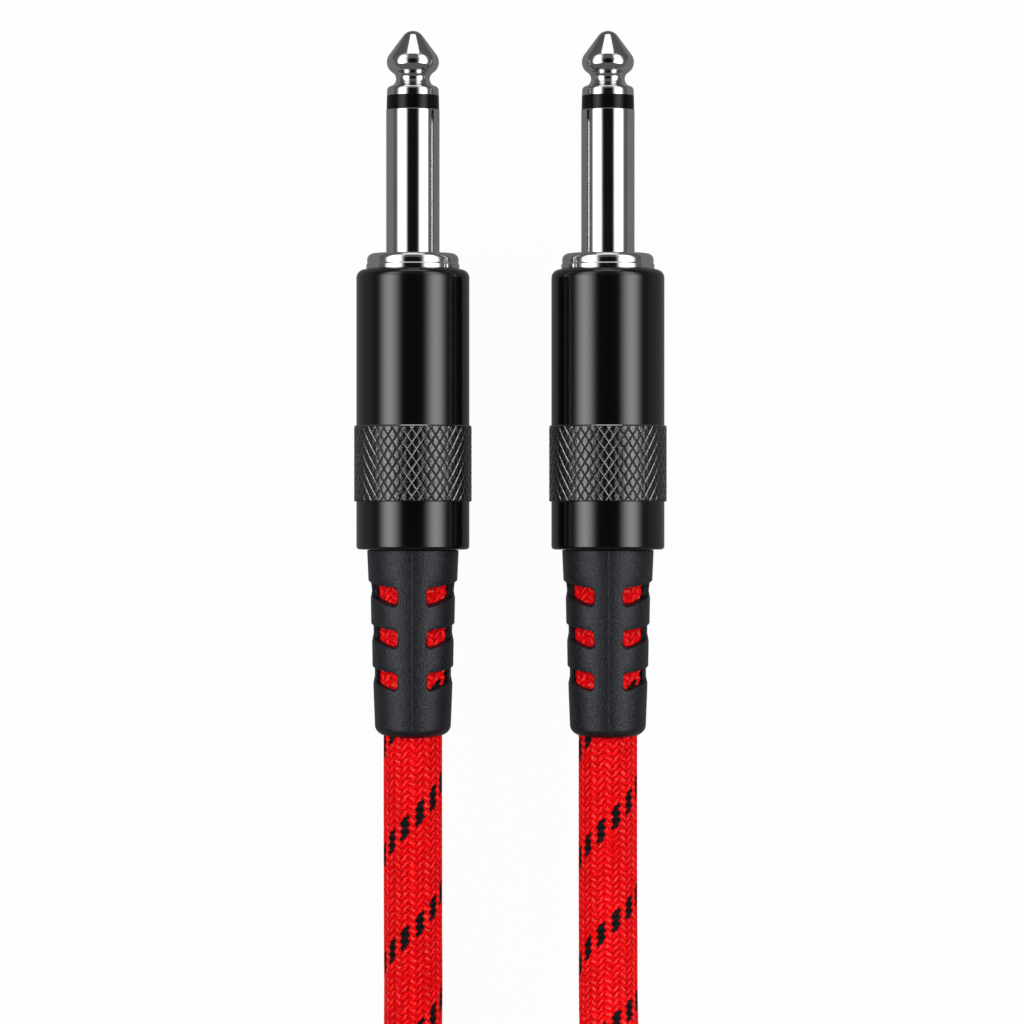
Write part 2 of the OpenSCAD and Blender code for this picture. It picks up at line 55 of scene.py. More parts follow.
def add_mesh(name, verts, faces):
    """Adds an object with a new mesh."""
    mesh = bpy.data.meshes.new(name)
    mesh.from_pydata(verts, [], faces)
    return add_object(name, mesh)


# ---- camera

def add_camera():
    """Straight down, 0.6 m above the plugs' axes."""
    data = bpy.data.cameras.new("camera")
    data.lens = 177.3
    data.sensor_width = 36.0
    data.clip_start = 0.02
    scene.camera = add_object("camera", data)
    scene.camera.location = (0.00019, -0.01524, 0.607)


add_camera()


# ---- nodes and colours

def linear(hex_colour):
    """A linear RGBA colour from an sRGB hex one."""
    parts = [int(hex_colour[i:i + 2], 16) / 255 for i in (1, 3, 5)]
    return [c / 12.92 if c <= 0.04045 else ((c + 0.055) / 1.055) ** 2.4 for c in parts] + [1.0]


def node(tree, kind, inputs=(), operation=None, **settings):
    """Adds a shader node. Its inputs are a list in their order, or a dictionary by name or number, and each
    is a value, a colour in sRGB hex, or the node or socket that feeds it."""
    new = tree.nodes.new("ShaderNode" + kind)
    if operation:
        new.operation = operation
    for name, value in settings.items():
        setattr(new, name, value)
    for key, value in inputs.items() if isinstance(inputs, dict) else enumerate(inputs):
        if isinstance(value, bpy.types.Node):
            value = value.outputs[0]
        elif isinstance(value, str):
            value = linear(value)
        if isinstance(value, bpy.types.NodeSocket):
            tree.links.new(value, new.inputs[key])
        else:
            new.inputs[key].default_value = value
    return new


def new_material(name):
    """An empty material, and its node tree."""
    material = bpy.data.materials.new(name)
    material.use_nodes = True
    material.node_tree.nodes.clear()
    return material, material.node_tree


# ---- the cord's braid

CORD_R = 3.5
TRACER_EVERY = 15      # stitches from one tracer group to the next, 12.84 mm apart
STITCH = 12.84 / TRACER_EVERY
COLUMNS = 24           # 12 columns lean one way and 12 the other
TRACER_STEP = 2        # stitches that the tracer climbs from one column pair to the next
TRACER_AT = 9.0        # first tracer group behind the boot of plug a, 15 degrees left of the top, mm
BOOT_INSIDE = 1.5      # the cord piece starts this far inside the boot's mouth, mm


def stitch_height(turn, stitches):
    """How proud the braid stands, 0 to 1, at a place round the cord and along it."""
    across = (turn - 0.5) * COLUMNS + 0.5 + COLUMNS
    column = math.floor(across)
    x = across - column
    q = stitches + (-x if column % 2 else x)
    f = q - math.floor(q)
    return math.sqrt(max(0.0, 4 * f * (1 - f))) * (1 - 0.55 * abs(2 * x - 1) ** 3)


def tracer_phase():
    """The stitch number, from the cord's start, that starts the tracer in the column pair 0."""
    return math.floor((TRACER_AT + BOOT_INSIDE) / STITCH + TRACER_STEP - 1.5)


# ---- the cord's route

def smooth_step(x):
    """0 below 0, 1 above 1, and an even S between."""
    c = min(max(x, 0.0), 1.0)
    return c * c * (3 - 2 * c)


# how far the coil lies behind the origin, its outer radius, and from one turn to the next, mm
COIL_BACK, COIL_OUT, COIL_PITCH = 140.0, 42.0, 7.45
# where the cord enters the coil, how far it winds, and where the strap is, degrees
COIL_ENTER, COIL_SWEEP, TIE_ANGLE = 136.0, 2428.0, 315.0
COIL_STEPS = 486       # of about 5 degrees each
LAYER_SWEEP = COIL_SWEEP / 4
COIL_IN = COIL_OUT - COIL_PITCH * LAYER_SWEEP / 360
TIE_LIFT = 1.3         # how much the coil rises where it crosses the strap, mm


def coil_r(t):
    """The coil's radius, t degrees along it: four layers that spiral in, out, in and out again."""
    return COIL_OUT - (COIL_OUT - COIL_IN) * abs((t / LAYER_SWEEP + 1) % 2 - 1)


def coil_point(t):
    """The coil's middle line, t degrees along it."""
    a = math.radians(COIL_ENTER + t)
    layer = sum(smooth_step((t - k * LAYER_SWEEP) / 180 + 0.5) for k in (1, 2, 3))
    lift = TIE_LIFT * max(0.0, math.cos(a - math.radians(TIE_ANGLE))) ** 4
    return Vector((coil_r(t) * math.cos(a), coil_r(t) * math.sin(a) - COIL_BACK,
                   CORD_R + COIL_PITCH * layer + lift))


def cord_route():
    """The points from plug a's boot, through the coil, to plug b's boot."""
    beside = [(11.6, -40.5), (11.6, -50), (11.6, -58), (11.6, -66), (11.6, -74), (11.8, -80), (12.8, -86),
              (14.6, -91), (17.3, -96), (20.8, -100.5)]
    low = (7, 7, 6.7, 5.9, 4.9, 4.1, 3.7, 3.5, 3.5, 3.5)
    high = (7, 7, 7.1, 8.3, 10.7, 13.4, 17.1, 20.1, 22.6, 24.4)
    lead_a = [Vector((-x, y, z)) for (x, y), z in zip(beside, low)]
    lead_b = [Vector((x, y, z)) for (x, y), z in zip(beside, high)]
    heading = math.radians(COIL_ENTER + 90 + math.degrees(math.atan(COIL_PITCH / (2 * math.pi * COIL_OUT))))
    enter = Vector((math.cos(heading), math.sin(heading), 0))
    leave = Vector((enter.x, -enter.y, -0.1)).normalized()
    coil = [coil_point(COIL_SWEEP * i / COIL_STEPS) for i in range(COIL_STEPS + 1)]
    start, finish = coil[0] - 7 * enter, coil[-1] + 7 * leave
    return lead_a + [start] + coil + [finish] + lead_b[::-1]


def smooth_points(points, gap):
    """The same route with points no further apart than gap, on a curve through all of them."""
    out = []
    for i in range(len(points) - 1):
        p0, p1, p2 = points[max(i - 1, 0)], points[i], points[i + 1]
        p3 = points[min(i + 2, len(points) - 1)]
        d = (p2 - p1).length
        m1 = (p2 - p0) * d / ((p1 - p0).length + d)
        m2 = (p3 - p1) * d / ((p3 - p2).length + d)
        count = max(1, math.ceil(d / gap))
        for k in range(count):
            t = k / count
            out.append((2 * t ** 3 - 3 * t ** 2 + 1) * p1 + (t ** 3 - 2 * t ** 2 + t) * m1
                       + (3 * t ** 2 - 2 * t ** 3) * p2 + (t ** 3 - t ** 2) * m2)
    return out + [points[-1]]


def tube_mesh(name, points, sides, radius, stitches, relief, closed=True):
    """A round tube along the points, with the braid's relief. radius and stitches are given for each point.
    The UV map holds the turn about the tube, from its underside, and the share of the stitches."""
    verts, faces = [], []
    last = len(points) - 1
    for i, p in enumerate(points):
        t = (points[min(i + 1, last)] - points[max(i - 1, 0)]).normalized()
        side = t.cross(Vector((0, 0, 1))).normalized()
        up = side.cross(t)
        for k in range(sides):
            turn = k / sides
            a = math.radians(360 * (turn - 0.5))
            r = radius[i] - relief * (1 - stitch_height(turn, stitches[i]))
            verts.append((p + r * (math.cos(a) * up + math.sin(a) * side)) * MM)
    for i in range(last):
        for k in range(sides):
            a, b = i * sides + k, i * sides + (k + 1) % sides
            faces.append((a, a + sides, b + sides, b))
    if closed:
        faces.append(tuple(range(sides)))
        faces.append(tuple(last * sides + k for k in reversed(range(sides))))
    piece = add_mesh(name, verts, faces)
    mesh = piece.data
    uv = mesh.uv_layers.new(name="braid")
    for face in mesh.polygons:
        wraps = len(face.vertices) == 4 and face.index % sides == sides - 1
        for corner in face.loop_indices:
            i, k = divmod(mesh.loops[corner].vertex_index, sides)
            uv.data[corner].uv = (1.0 if wraps and k == 0 else k / sides, stitches[i] / stitches[-1])
    mesh.shade_smooth()
    return piece


def ring_places(length, fine_until, fine, coarse):
    """Distances along the cord: close together near both ends, further apart in between."""
    near = [i * fine for i in range(int(fine_until / fine) + 1)]
    span = length - 2 * near[-1]
    count = math.ceil(span / coarse)
    middle = [near[-1] + span * i / count for i in range(1, count)]
    return near + middle + [length - s for s in reversed(near)]


def points_at(path, places):
    """The points of the path at those distances from its start."""
    reached = [0.0]
    for a, b in zip(path, path[1:]):
        reached.append(reached[-1] + (b - a).length)
    out, i = [], 0
    for s in places:
        while i < len(path) - 2 and reached[i + 1] < s:
            i += 1
        step = reached[i + 1] - reached[i]
        out.append(path[i].lerp(path[i + 1], min(1.0, (s - reached[i]) / step)))
    return out


def make_cord():
    """The free cord, from boot to boot. Its stitches are spaced so that the tracer is alike at both."""
    path = smooth_points(cord_route(), gap=0.5)
    length = sum((b - a).length for a, b in zip(path, path[1:]))
    places = ring_places(length, fine_until=42, fine=0.19, coarse=3.0)
    points = points_at(path, places)
    # the tracer's place behind plug b's boot mirrors the one behind plug a's
    unit, rest = TRACER_EVERY * STITCH, 2 * TRACER_AT + TRACER_STEP * STITCH
    free = length - 2 * BOOT_INSIDE
    wanted = rest + unit * round((free - rest) / unit)
    stitches = [s * (wanted / free) / STITCH for s in places]
    cord = tube_mesh("woven_cord", points, 96, [CORD_R] * len(points), stitches, relief=0.11)
    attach(cord, "cord_and_pins")
    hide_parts("lead_a", "coil", "lead_b")
    return cord, stitches[-1]


woven_cord, cord_stitches = make_cord()


# ---- materials

def polished_nickel():
    """Nickel plate on turned brass, polished: warm grey, mirror-like, faintly rubbed and turned."""
    material, t = new_material("polished_nickel_plate")
    place = node(t, "TexCoord").outputs["Object"]
    # rubbing: patches of 3 mm that are a little duller
    rub = node(t, "TexNoise", {"Vector": place, "Scale": 1 / 0.003, "Detail": 3.0})
    dull = node(t, "MapRange", {"Value": rub, "To Min": 0.055, "To Max": 0.115})
    # turning marks: rings 0.05 mm apart along the plug, drawn coarser than the real 0.01 mm ones
    rings = node(t, "Mapping", {"Vector": place, "Scale": (150.0, 20000.0, 150.0)})
    marks = node(t, "TexNoise", {"Vector": rings, "Scale": 1.0, "Detail": 2.0})
    bump = node(t, "Bump", {"Height": marks, "Strength": 0.05, "Distance": 0.00001})
    tint = node(t, "Mix", {0: rub, 6: "#BAB9B7", 7: "#C4C3C2"}, data_type="RGBA")
    shader = node(t, "BsdfPrincipled", {"Base Color": tint.outputs[2], "Metallic": 1.0, "Roughness": dull,
                                        "Normal": bump})
    node(t, "OutputMaterial", [shader])
    return material


def black_ring_plastic():
    """Glossy black acetal, turned flush with the contacts: deep black with a clear, sharp reflection."""
    material, t = new_material("black_ring_acetal")
    place = node(t, "TexCoord").outputs["Object"]
    cloud = node(t, "TexNoise", {"Vector": place, "Scale": 1 / 0.002, "Detail": 2.0})
    gloss = node(t, "MapRange", {"Value": cloud, "To Min": 0.1, "To Max": 0.16})
    tint = node(t, "Mix", {0: cloud, 6: "#060607", 7: "#0C0C0D"}, data_type="RGBA")
    shader = node(t, "BsdfPrincipled", {"Base Color": tint.outputs[2], "Roughness": gloss, "IOR": 1.48,
                                        "Specular IOR Level": 0.12})
    node(t, "OutputMaterial", [shader])
    return material


def satin_black_barrel(name, gloss, ior, grain_mm=0.12, lift_mm=0.0008):
    """Brass barrel, blackened and satin lacquered: near black, broad soft reflections, fine dust-like grain.
    In the knurl's grooves the lacquer pools and is glossier, and its flats are burred by the roller."""
    material, t = new_material(name)
    place = node(t, "TexCoord").outputs["Object"]
    # the grain's size and height: dust in the lacquer is 0.12 mm across, the roller's marks are 0.2 mm, and
    # the pooled lacquer has waves of 0.45 mm
    grain = node(t, "TexNoise", {"Vector": place, "Scale": 1 / (grain_mm * MM), "Detail": 2.0})
    bump = node(t, "Bump", {"Height": grain, "Strength": 1.0, "Distance": lift_mm * MM})
    cloud = node(t, "TexNoise", {"Vector": place, "Scale": 1 / 0.006, "Detail": 3.0})
    satin = node(t, "MapRange", {"Value": cloud, "To Min": 0.13, "To Max": 0.16})
    tint = node(t, "Mix", {0: cloud, 6: "#050506", 7: "#090909"}, data_type="RGBA")
    shader = node(t, "BsdfPrincipled", {"Base Color": tint.outputs[2], "Roughness": satin, "IOR": ior,
                                        "Specular IOR Level": gloss, "Normal": bump})
    node(t, "OutputMaterial", [shader])
    return material


def boot_rubber():
    """Moulded thermoplastic rubber, its grain spark-eroded: charcoal, matt, pebbled, with a parting line."""
    material, t = new_material("grained_boot_rubber")
    place = node(t, "TexCoord").outputs["Object"]
    # grain of 0.2 mm, with a finer one of 0.08 mm on it
    pebble = node(t, "TexVoronoi", {"Vector": place, "Scale": 1 / 0.0002})
    fine = node(t, "TexNoise", {"Vector": place, "Scale": 1 / 0.00009, "Detail": 3.0})
    height = node(t, "Math", [pebble.outputs["Distance"], fine], "ADD")
    # the parting line runs along the top of each boot, 0.1 mm wide
    apart = node(t, "SeparateXYZ", [place])
    outward = node(t, "Math", [apart.outputs["X"]], "ABSOLUTE")
    middle = node(t, "Math", [outward, PLUG_X * MM], "SUBTRACT")
    off = node(t, "Math", [middle], "ABSOLUTE")
    line = node(t, "MapRange", {"Value": off, "From Min": 0.00003, "From Max": 0.00009, "To Min": 1.0,
                                "To Max": 0.0}, interpolation_type="SMOOTHSTEP")
    raised = node(t, "Math", [line, 0.5, height], "MULTIPLY_ADD")
    bump = node(t, "Bump", {"Height": raised, "Strength": 0.5, "Distance": 0.00006})
    pale = node(t, "MapRange", {"Value": pebble.outputs["Distance"], "From Min": 0.25, "From Max": 0.75})
    speck = node(t, "Mix", {0: pale, 6: "#020203", 7: "#1B1E24"}, data_type="RGBA")
    lined = node(t, "Mix", {0: line, 6: speck.outputs[2], 7: "#17181B"}, data_type="RGBA")
    shader = node(t, "BsdfPrincipled", {"Base Color": lined.outputs[2], "Roughness": 0.36, "IOR": 1.52,
                                        "Specular IOR Level": 0.31, "Specular Tint": "#F0F3FA",
                                        "Normal": bump})
    node(t, "OutputMaterial", [shader])
    return material


def woven_red(name, total, first_tracer, loose):
    """Polyester braid over the cord: red yarns in slanted stitches, with black tracer yarns between them.
    Yarn has a soft sheen along its filaments, painted into its colour on the stitches' crowns, and painted
    shade darkens the gaps between stitches. loose is for braid that is turned back on itself, where the
    stitches part."""
    material, t = new_material(name)
    spot = node(t, "UVMap", uv_map="braid")
    apart = node(t, "SeparateXYZ", [spot])
    # place across the columns and along the cord, in columns and stitches
    across = node(t, "Math", [apart.outputs["X"], float(COLUMNS), COLUMNS / 2 + 0.5], "MULTIPLY_ADD")
    along = node(t, "Math", [apart.outputs["Y"], total], "MULTIPLY")
    grid = node(t, "CombineXYZ", {"X": across, "Y": along})
    wander = node(t, "TexNoise", {"Vector": grid, "Scale": 0.9, "Detail": 2.0})
    shift = node(t, "Math", [wander, 0.5], "SUBTRACT")
    across = node(t, "Math", [shift, 0.9 if loose else 0.3, across], "MULTIPLY_ADD")
    # the stitches' rounded ends lock into the next column, so its edges are serrated
    half_turns = node(t, "Math", [across, math.pi], "MULTIPLY")
    swing = node(t, "Math", [half_turns], "COSINE")
    tooth = node(t, "Math", [along, 0.5], "PINGPONG")
    tooth = node(t, "Math", [tooth, -0.9, 0.2], "MULTIPLY_ADD")
    across = node(t, "Math", [tooth, swing, across], "MULTIPLY_ADD")
    column = node(t, "Math", [across], "FLOOR")
    x = node(t, "Math", [across], "FRACT")
    lean = node(t, "Math", [column, 2.0], "FLOORED_MODULO")
    sign = node(t, "Math", [lean, -2.0, 1.0], "MULTIPLY_ADD")
    slant = node(t, "Math", [sign, x, along], "MULTIPLY_ADD")
    slant = node(t, "Math", [shift, 1.6 if loose else 0.6, slant], "MULTIPLY_ADD")
    stitch = node(t, "Math", [slant], "FLOOR")
    f = node(t, "Math", [slant], "FRACT")
    # a stitch is round across, and dives under its neighbours at the column's edges
    back = node(t, "Math", [1.0, f], "SUBTRACT")
    hump = node(t, "Math", [f, back], "MULTIPLY")
    hump = node(t, "Math", [hump, 4.0], "MULTIPLY")
    edge = node(t, "Math", [x, 2.0, -1.0], "MULTIPLY_ADD")
    edge = node(t, "Math", [edge], "ABSOLUTE")
    edge = node(t, "Math", [edge, 3.0], "POWER")
    edge = node(t, "Math", [edge, -0.7, 1.0], "MULTIPLY_ADD")
    proud = node(t, "Math", [hump, 0.6], "POWER")
    proud = node(t, "Math", [proud, edge], "MULTIPLY")
    # filaments: lines 0.09 mm apart that run with the stitch
    run = node(t, "CombineXYZ", {"X": x, "Y": slant, "Z": column})
    stretched = node(t, "Mapping", {"Vector": run, "Scale": (2.4, 9.0, 7.3)})
    threads = node(t, "TexNoise", {"Vector": stretched, "Scale": 1.0, "Detail": 2.0})
    # each stitch takes the light a little differently
    one = node(t, "CombineXYZ", {"X": column, "Y": stitch})
    each = node(t, "TexWhiteNoise", {"Vector": one}, noise_dimensions="2D")
    # the tracer: three stitches of every fifteen, in the columns that lean one way. Half of them are
    # folded under where the braid is turned back
    pair = node(t, "Math", [column, 1.0 + COLUMNS], "SUBTRACT")
    climb = node(t, "Math", [pair, -TRACER_STEP / 2, stitch], "MULTIPLY_ADD")
    climb = node(t, "Math", [climb, first_tracer], "SUBTRACT")
    group = node(t, "Math", [climb, TRACER_EVERY * (2.0 if loose else 1.0)], "FLOORED_MODULO")
    black = node(t, "Math", [group, 3.0], "LESS_THAN")
    black = node(t, "Math", [black, lean], "MULTIPLY")
    # painted shade: the red yarn darkens from each stitch's crown into the gaps, and where it dives under at
    # the column's edges
    gap = node(t, "MapRange", {"Value": proud, "From Min": 0.12, "From Max": 0.62},
               interpolation_type="SMOOTHSTEP")
    fuzz = node(t, "TexNoise", {"Vector": grid, "Scale": 3.2, "Detail": 3.0})
    patch = node(t, "Math", [each, 0.45, fuzz], "MULTIPLY_ADD")
    red = node(t, "MapRange", {"Value": patch, "From Min": 0.4, "From Max": 1.0})
    red = node(t, "Mix", {0: red, 6: "#DC0006", 7: "#FA0610"}, data_type="RGBA")
    # painted sheen: the filaments on the stitches' crowns are painted paler, on red and tracer yarn alike
    painted_sheen = node(t, "Math", [threads, proud], "MULTIPLY")
    painted_sheen = node(t, "MapRange", {"Value": painted_sheen, "From Min": 0.47, "From Max": 0.62, "To Max": 0.8})
    bright = node(t, "Mix", {0: painted_sheen, 6: red.outputs[2], 7: "#FF6458"}, data_type="RGBA")
    yarn = node(t, "Mix", {0: gap, 6: "#A80008", 7: bright.outputs[2]}, data_type="RGBA")
    dark = node(t, "Mix", {0: painted_sheen, 6: "#0D0F10", 7: "#3A3536"}, data_type="RGBA")
    colour = node(t, "Mix", {0: black, 6: yarn.outputs[2], 7: dark.outputs[2]}, data_type="RGBA")
    height = node(t, "Math", [threads, 0.25, proud], "MULTIPLY_ADD")
    bump = node(t, "Bump", {"Height": height, "Strength": 0.7, "Distance": 0.00014})
    shader = node(t, "BsdfPrincipled", {"Base Color": colour.outputs[2], "Roughness": 0.6, "IOR": 1.5,
                                        "Specular IOR Level": 0.05, "Sheen Weight": 0.01,
                                        "Sheen Roughness": 0.4, "Normal": bump})
    node(t, "OutputMaterial", [shader])
    return material


def hook_and_loop():
    """Woven nylon strap with a brushed loop face: black, very matt, fuzzy."""
    material, t = new_material("brushed_loop_nylon")
    place = node(t, "TexCoord").outputs["Object"]
    # loops of 0.35 mm
    loops = node(t, "TexVoronoi", {"Vector": place, "Scale": 1 / 0.00035})
    fuzz = node(t, "TexNoise", {"Vector": place, "Scale": 1 / 0.0002, "Detail": 4.0})
    height = node(t, "Math", [loops.outputs["Distance"], fuzz], "ADD")
    bump = node(t, "Bump", {"Height": height, "Strength": 0.8, "Distance": 0.0001})
    tint = node(t, "Mix", {0: fuzz, 6: "#0C0C0D", 7: "#232325"}, data_type="RGBA")
    shader = node(t, "BsdfPrincipled", {"Base Color": tint.outputs[2], "Roughness": 0.85, "Sheen Weight": 0.3,
                                        "Sheen Roughness": 0.5, "Normal": bump})
    node(t, "OutputMaterial", [shader])
    return material


def plain_finish(name, low, high, rough, metal, grain_mm):
    """A finish for the pieces inside the plug: two near colours, clouded at the grain's size."""
    material, t = new_material(name)
    place = node(t, "TexCoord").outputs["Object"]
    grain = node(t, "TexNoise", {"Vector": place, "Scale": 1 / (grain_mm * MM), "Detail": 3.0})
    tint = node(t, "Mix", {0: grain, 6: low, 7: high}, data_type="RGBA")
    dull = node(t, "MapRange", {"Value": grain, "To Min": rough - 0.05, "To Max": rough + 0.08})
    bump = node(t, "Bump", {"Height": grain, "Strength": 0.15, "Distance": 0.00003})
    shader = node(t, "BsdfPrincipled", {"Base Color": tint.outputs[2], "Metallic": metal, "Roughness": dull,
                                        "Normal": bump})
    node(t, "OutputMaterial", [shader])
    return material


NICKEL = polished_nickel()
RING_BLACK = black_ring_plastic()
BARREL_BLACK = satin_black_barrel("satin_black_lacquer", gloss=0.46, ior=1.5)
GROOVE_BLACK = satin_black_barrel("pooled_black_lacquer", gloss=1.0, ior=1.8, grain_mm=0.45, lift_mm=0.035)
FLAT_BLACK = satin_black_barrel("burred_black_lacquer", gloss=0.75, ior=1.5, grain_mm=0.2, lift_mm=0.05)
RUBBER = boot_rubber()
LOOP_NYLON = hook_and_loop()
CORD_RED = woven_red("red_braid_with_tracer", cord_stitches, first_tracer=tracer_phase(), loose=False)
# moulded nylon, natural white, slightly waxy
NYLON = plain_finish("natural_nylon", "#DCD9CE", "#EBE8DF", rough=0.45, metal=0.0, grain_mm=0.4)
# extruded PVC liner, matt black
LINER = plain_finish("black_pvc_liner", "#0C0C0C", "#171717", rough=0.6, metal=0.0, grain_mm=0.5)
# stamped brass, dull from rolling
BRASS = plain_finish("rolled_brass", "#A98A4C", "#C3A767", rough=0.32, metal=1.0, grain_mm=0.3)
# bare drawn copper strands
COPPER = plain_finish("drawn_copper", "#A9643F", "#C98562", rough=0.3, metal=1.0, grain_mm=0.15)
# flowed tin solder, bright and slightly frosted
SOLDER = plain_finish("flowed_solder", "#9A9B9D", "#BDBEC0", rough=0.22, metal=1.0, grain_mm=0.25)

woven_cord.data.materials.append(CORD_RED)


# ---- turned pieces

def choose(piece):
    """Makes the piece the only one selected."""
    bpy.ops.object.select_all(action="DESELECT")
    bpy.context.view_layer.objects.active = piece
    piece.select_set(True)


def shut():
    """Leaves edit mode."""
    bpy.ops.object.mode_set(mode="OBJECT")


def edit(piece):
    """Makes the piece the only one selected, and opens it."""
    if bpy.context.object and bpy.context.object.mode != "OBJECT":
        shut()
    choose(piece)
    bpy.ops.object.mode_set(mode="EDIT")


def pick_all():
    """Selects all of the open piece."""
    bpy.ops.mesh.select_all(action="SELECT")


def pick_edges(piece, wanted, sharp=0):
    """Selects the open piece's edges whose two ends pass the test. An angle in degrees leaves out the edges
    that are less sharp."""
    bpy.ops.mesh.select_mode(type="EDGE")
    bpy.ops.mesh.select_all(action="DESELECT")
    if sharp:
        bpy.ops.mesh.edges_select_sharp(sharpness=math.radians(sharp))
    shut()
    for e in piece.data.edges:
        a, b = (piece.data.vertices[i].co for i in e.vertices)
        e.select = (e.select or not sharp) and wanted(a, b)
    bpy.ops.object.mode_set(mode="EDIT")


def face_outward():
    """Turns the open piece's faces outward, and shuts it."""
    pick_all()
    bpy.ops.mesh.normals_make_consistent(inside=False)
    shut()


def chain(name, outline, unit=MM):
    """One point drawn out along an outline of (radius, height) in mm, in the X-Y plane."""
    bpy.ops.mesh.primitive_plane_add(size=0.001)
    piece = bpy.context.object
    piece.name = piece.data.name = name
    edit(piece)
    bpy.ops.mesh.select_mode(type="VERT")
    pick_all()
    bpy.ops.mesh.merge(type="CENTER")
    pick_all()
    at = Vector((0, 0))
    for i, point in enumerate(outline):
        step = (Vector(point) - at) * unit
        at = Vector(point)
        if i == 0:
            bpy.ops.transform.translate(value=(step.x, step.y, 0))
        else:
            bpy.ops.mesh.extrude_region_move(TRANSFORM_OT_translate={"value": (step.x, step.y, 0)})
    return piece


def held(outline):
    """Adds a point close to both ends of each long stretch, so that the stretch is shaded straight."""
    out = []
    for a, b in zip(outline, outline[1:]):
        a, b = Vector(a), Vector(b)
        out.append(a)
        if (b - a).length > 0.4:
            step = (b - a).normalized() * 0.04
            out += [a + step, b - step]
    return out + [outline[-1]]


def turned(name, outline, steps=128, unit=MM):
    """An outline of (radius, height above the shoulder) in mm, spun about the plug's axis.
    It is left lying along +Y, its shoulder at the origin."""
    piece = chain(name, held(outline), unit)
    pick_all()
    bpy.ops.mesh.spin(steps=steps, angle=math.tau, center=(0, 0, 0), axis=(0, 1, 0))
    pick_all()
    bpy.ops.mesh.remove_doubles(threshold=0.002 * unit)
    face_outward()
    return piece


def arc(cx, cy, r, a0, a1, n):
    """Points of an arc about (cx, cy), from angle a0 to a1 in degrees."""
    return [(cx + r * math.cos(math.radians(a0 + (a1 - a0) * i / n)),
             cy + r * math.sin(math.radians(a0 + (a1 - a0) * i / n))) for i in range(n + 1)]


def finish_piece(piece, material=None, angle=35):
    """Smooth shading up to an angle between faces, and the material if it has none yet."""
    choose(piece)
    bpy.ops.object.shade_smooth_by_angle(angle=math.radians(angle))
    if material:
        piece.data.materials.clear()
        piece.data.materials.append(material)


def join(pieces):
    """Joins the pieces into the first of them."""
    choose(pieces[0])
    for piece in pieces:
        piece.select_set(True)
    bpy.ops.object.join()
    return pieces[0]


def fit_to_plugs(piece, part, body="cord_and_pins"):
    """Copies a piece, made about the origin, into both plugs, in the place of their CAD node."""
    for plug, x in PLUGS:
        mesh = piece.data.copy()
        mesh.transform(Matrix.Translation(Vector((x, SHOULDER_Y, AXIS_H)) * MM))
        copy = add_object(f"{plug}_{piece.name}", mesh)
        mesh.name = copy.name
        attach(copy, body.replace("plug", plug))
        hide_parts(f"{plug}_{part}")
    bpy.data.objects.remove(piece)


# the sleeve's radius, and the fronts of the sleeve, the ring and the tip, from the shoulder, mm
SLEEVE_R, RING_Z, TIP_Z, POINT_Z = 3.175, 17.1, 18.75, 26.5
SLEEVE_BORE_R, SPIGOT_L = 1.91, 2.1      # the ring's spigot reaches into the sleeve


def make_tip():
    """Cone, ball, groove and land in one turned outline, on its rod with the peened head."""
    waist_r, waist_z, ball_z = 2.01, 2.02, 4.03
    ball = Vector((1.605, TIP_Z + ball_z))
    ball_r, point_r, land_r = 1.5, 1.44, 0.5
    point = Vector((0, POINT_Z - point_r))
    # the groove's arc meets its waist, and touches the ball
    reach, drop = waist_r - ball.x, ball_z - waist_z
    groove_r = (reach ** 2 + drop ** 2 - ball_r ** 2) / (2 * (ball_r - reach))
    groove = Vector((waist_r + groove_r, TIP_Z + waist_z))
    land_x = 3.065 - land_r
    land = Vector((land_x, groove.y - math.sqrt((groove_r + land_r) ** 2 - (groove.x - land_x) ** 2)))
    run = ball - point
    cone = math.degrees(math.atan2(run.y, run.x) + math.acos((point_r - ball_r) / run.length))
    to_ball = math.degrees(math.atan2(groove.y - ball.y, groove.x - ball.x))
    to_land = math.degrees(math.atan2(groove.y - land.y, groove.x - land.x))
    outline = ([(0, -12.6), (1.3, -12.6), (1.5, -12.4), (1.5, -11.95), (1.1, -11.9), (1.1, TIP_Z),
                (3.06, TIP_Z), (3.095, TIP_Z + 0.035)]
               + arc(land.x, land.y, land_r, 0, to_land, 8)
               + arc(groove.x, groove.y, groove_r, 180 + to_land, 180 + to_ball, 20)[1:]
               + arc(ball.x, ball.y, ball_r, to_ball, cone, 24)[1:]
               + arc(point.x, point.y, point_r, cone, 90, 14))
    outline[-1] = (0, POINT_Z)
    tip = turned("tip_contact", outline, steps=160)
    finish_piece(tip, NICKEL)
    fit_to_plugs(tip, "tip")


def make_ring():
    """The black ring and its spigot, which reaches into the sleeve."""
    inner, foot, edge = 1.13, RING_Z - SPIGOT_L, 0.05
    outline = ([(inner, TIP_Z), (inner, RING_Z + 0.02), (SLEEVE_BORE_R, RING_Z + 0.02), (SLEEVE_BORE_R, foot),
                (2.26, foot), (2.26, RING_Z)]
               + arc(3.135 - edge, RING_Z + edge, edge, -90, 0, 4)
               + arc(3.105 - edge, TIP_Z - edge, edge, 0, 90, 4) + [(inner, TIP_Z)])
    ring = turned("tip_ring", outline, steps=160)
    finish_piece(ring, RING_BLACK)
    fit_to_plugs(ring, "tip_insulator")


def make_sleeve():
    """The tubular sleeve contact with its thinner shank."""
    shank_r, foot, seat = 2.8, -6, RING_Z - 2.13
    outline = ([(SLEEVE_BORE_R, foot), (shank_r, foot), (shank_r, shank_r - SLEEVE_R), (SLEEVE_R, 0)]
               + arc(SLEEVE_R - 0.06, RING_Z - 0.06, 0.06, 0, 90, 5)
               + [(2.29, RING_Z), (2.29, seat), (SLEEVE_BORE_R, seat), (SLEEVE_BORE_R, foot)])
    sleeve = turned("sleeve_contact", outline, steps=160)
    finish_piece(sleeve, NICKEL)
    fit_to_plugs(sleeve, "sleeve")


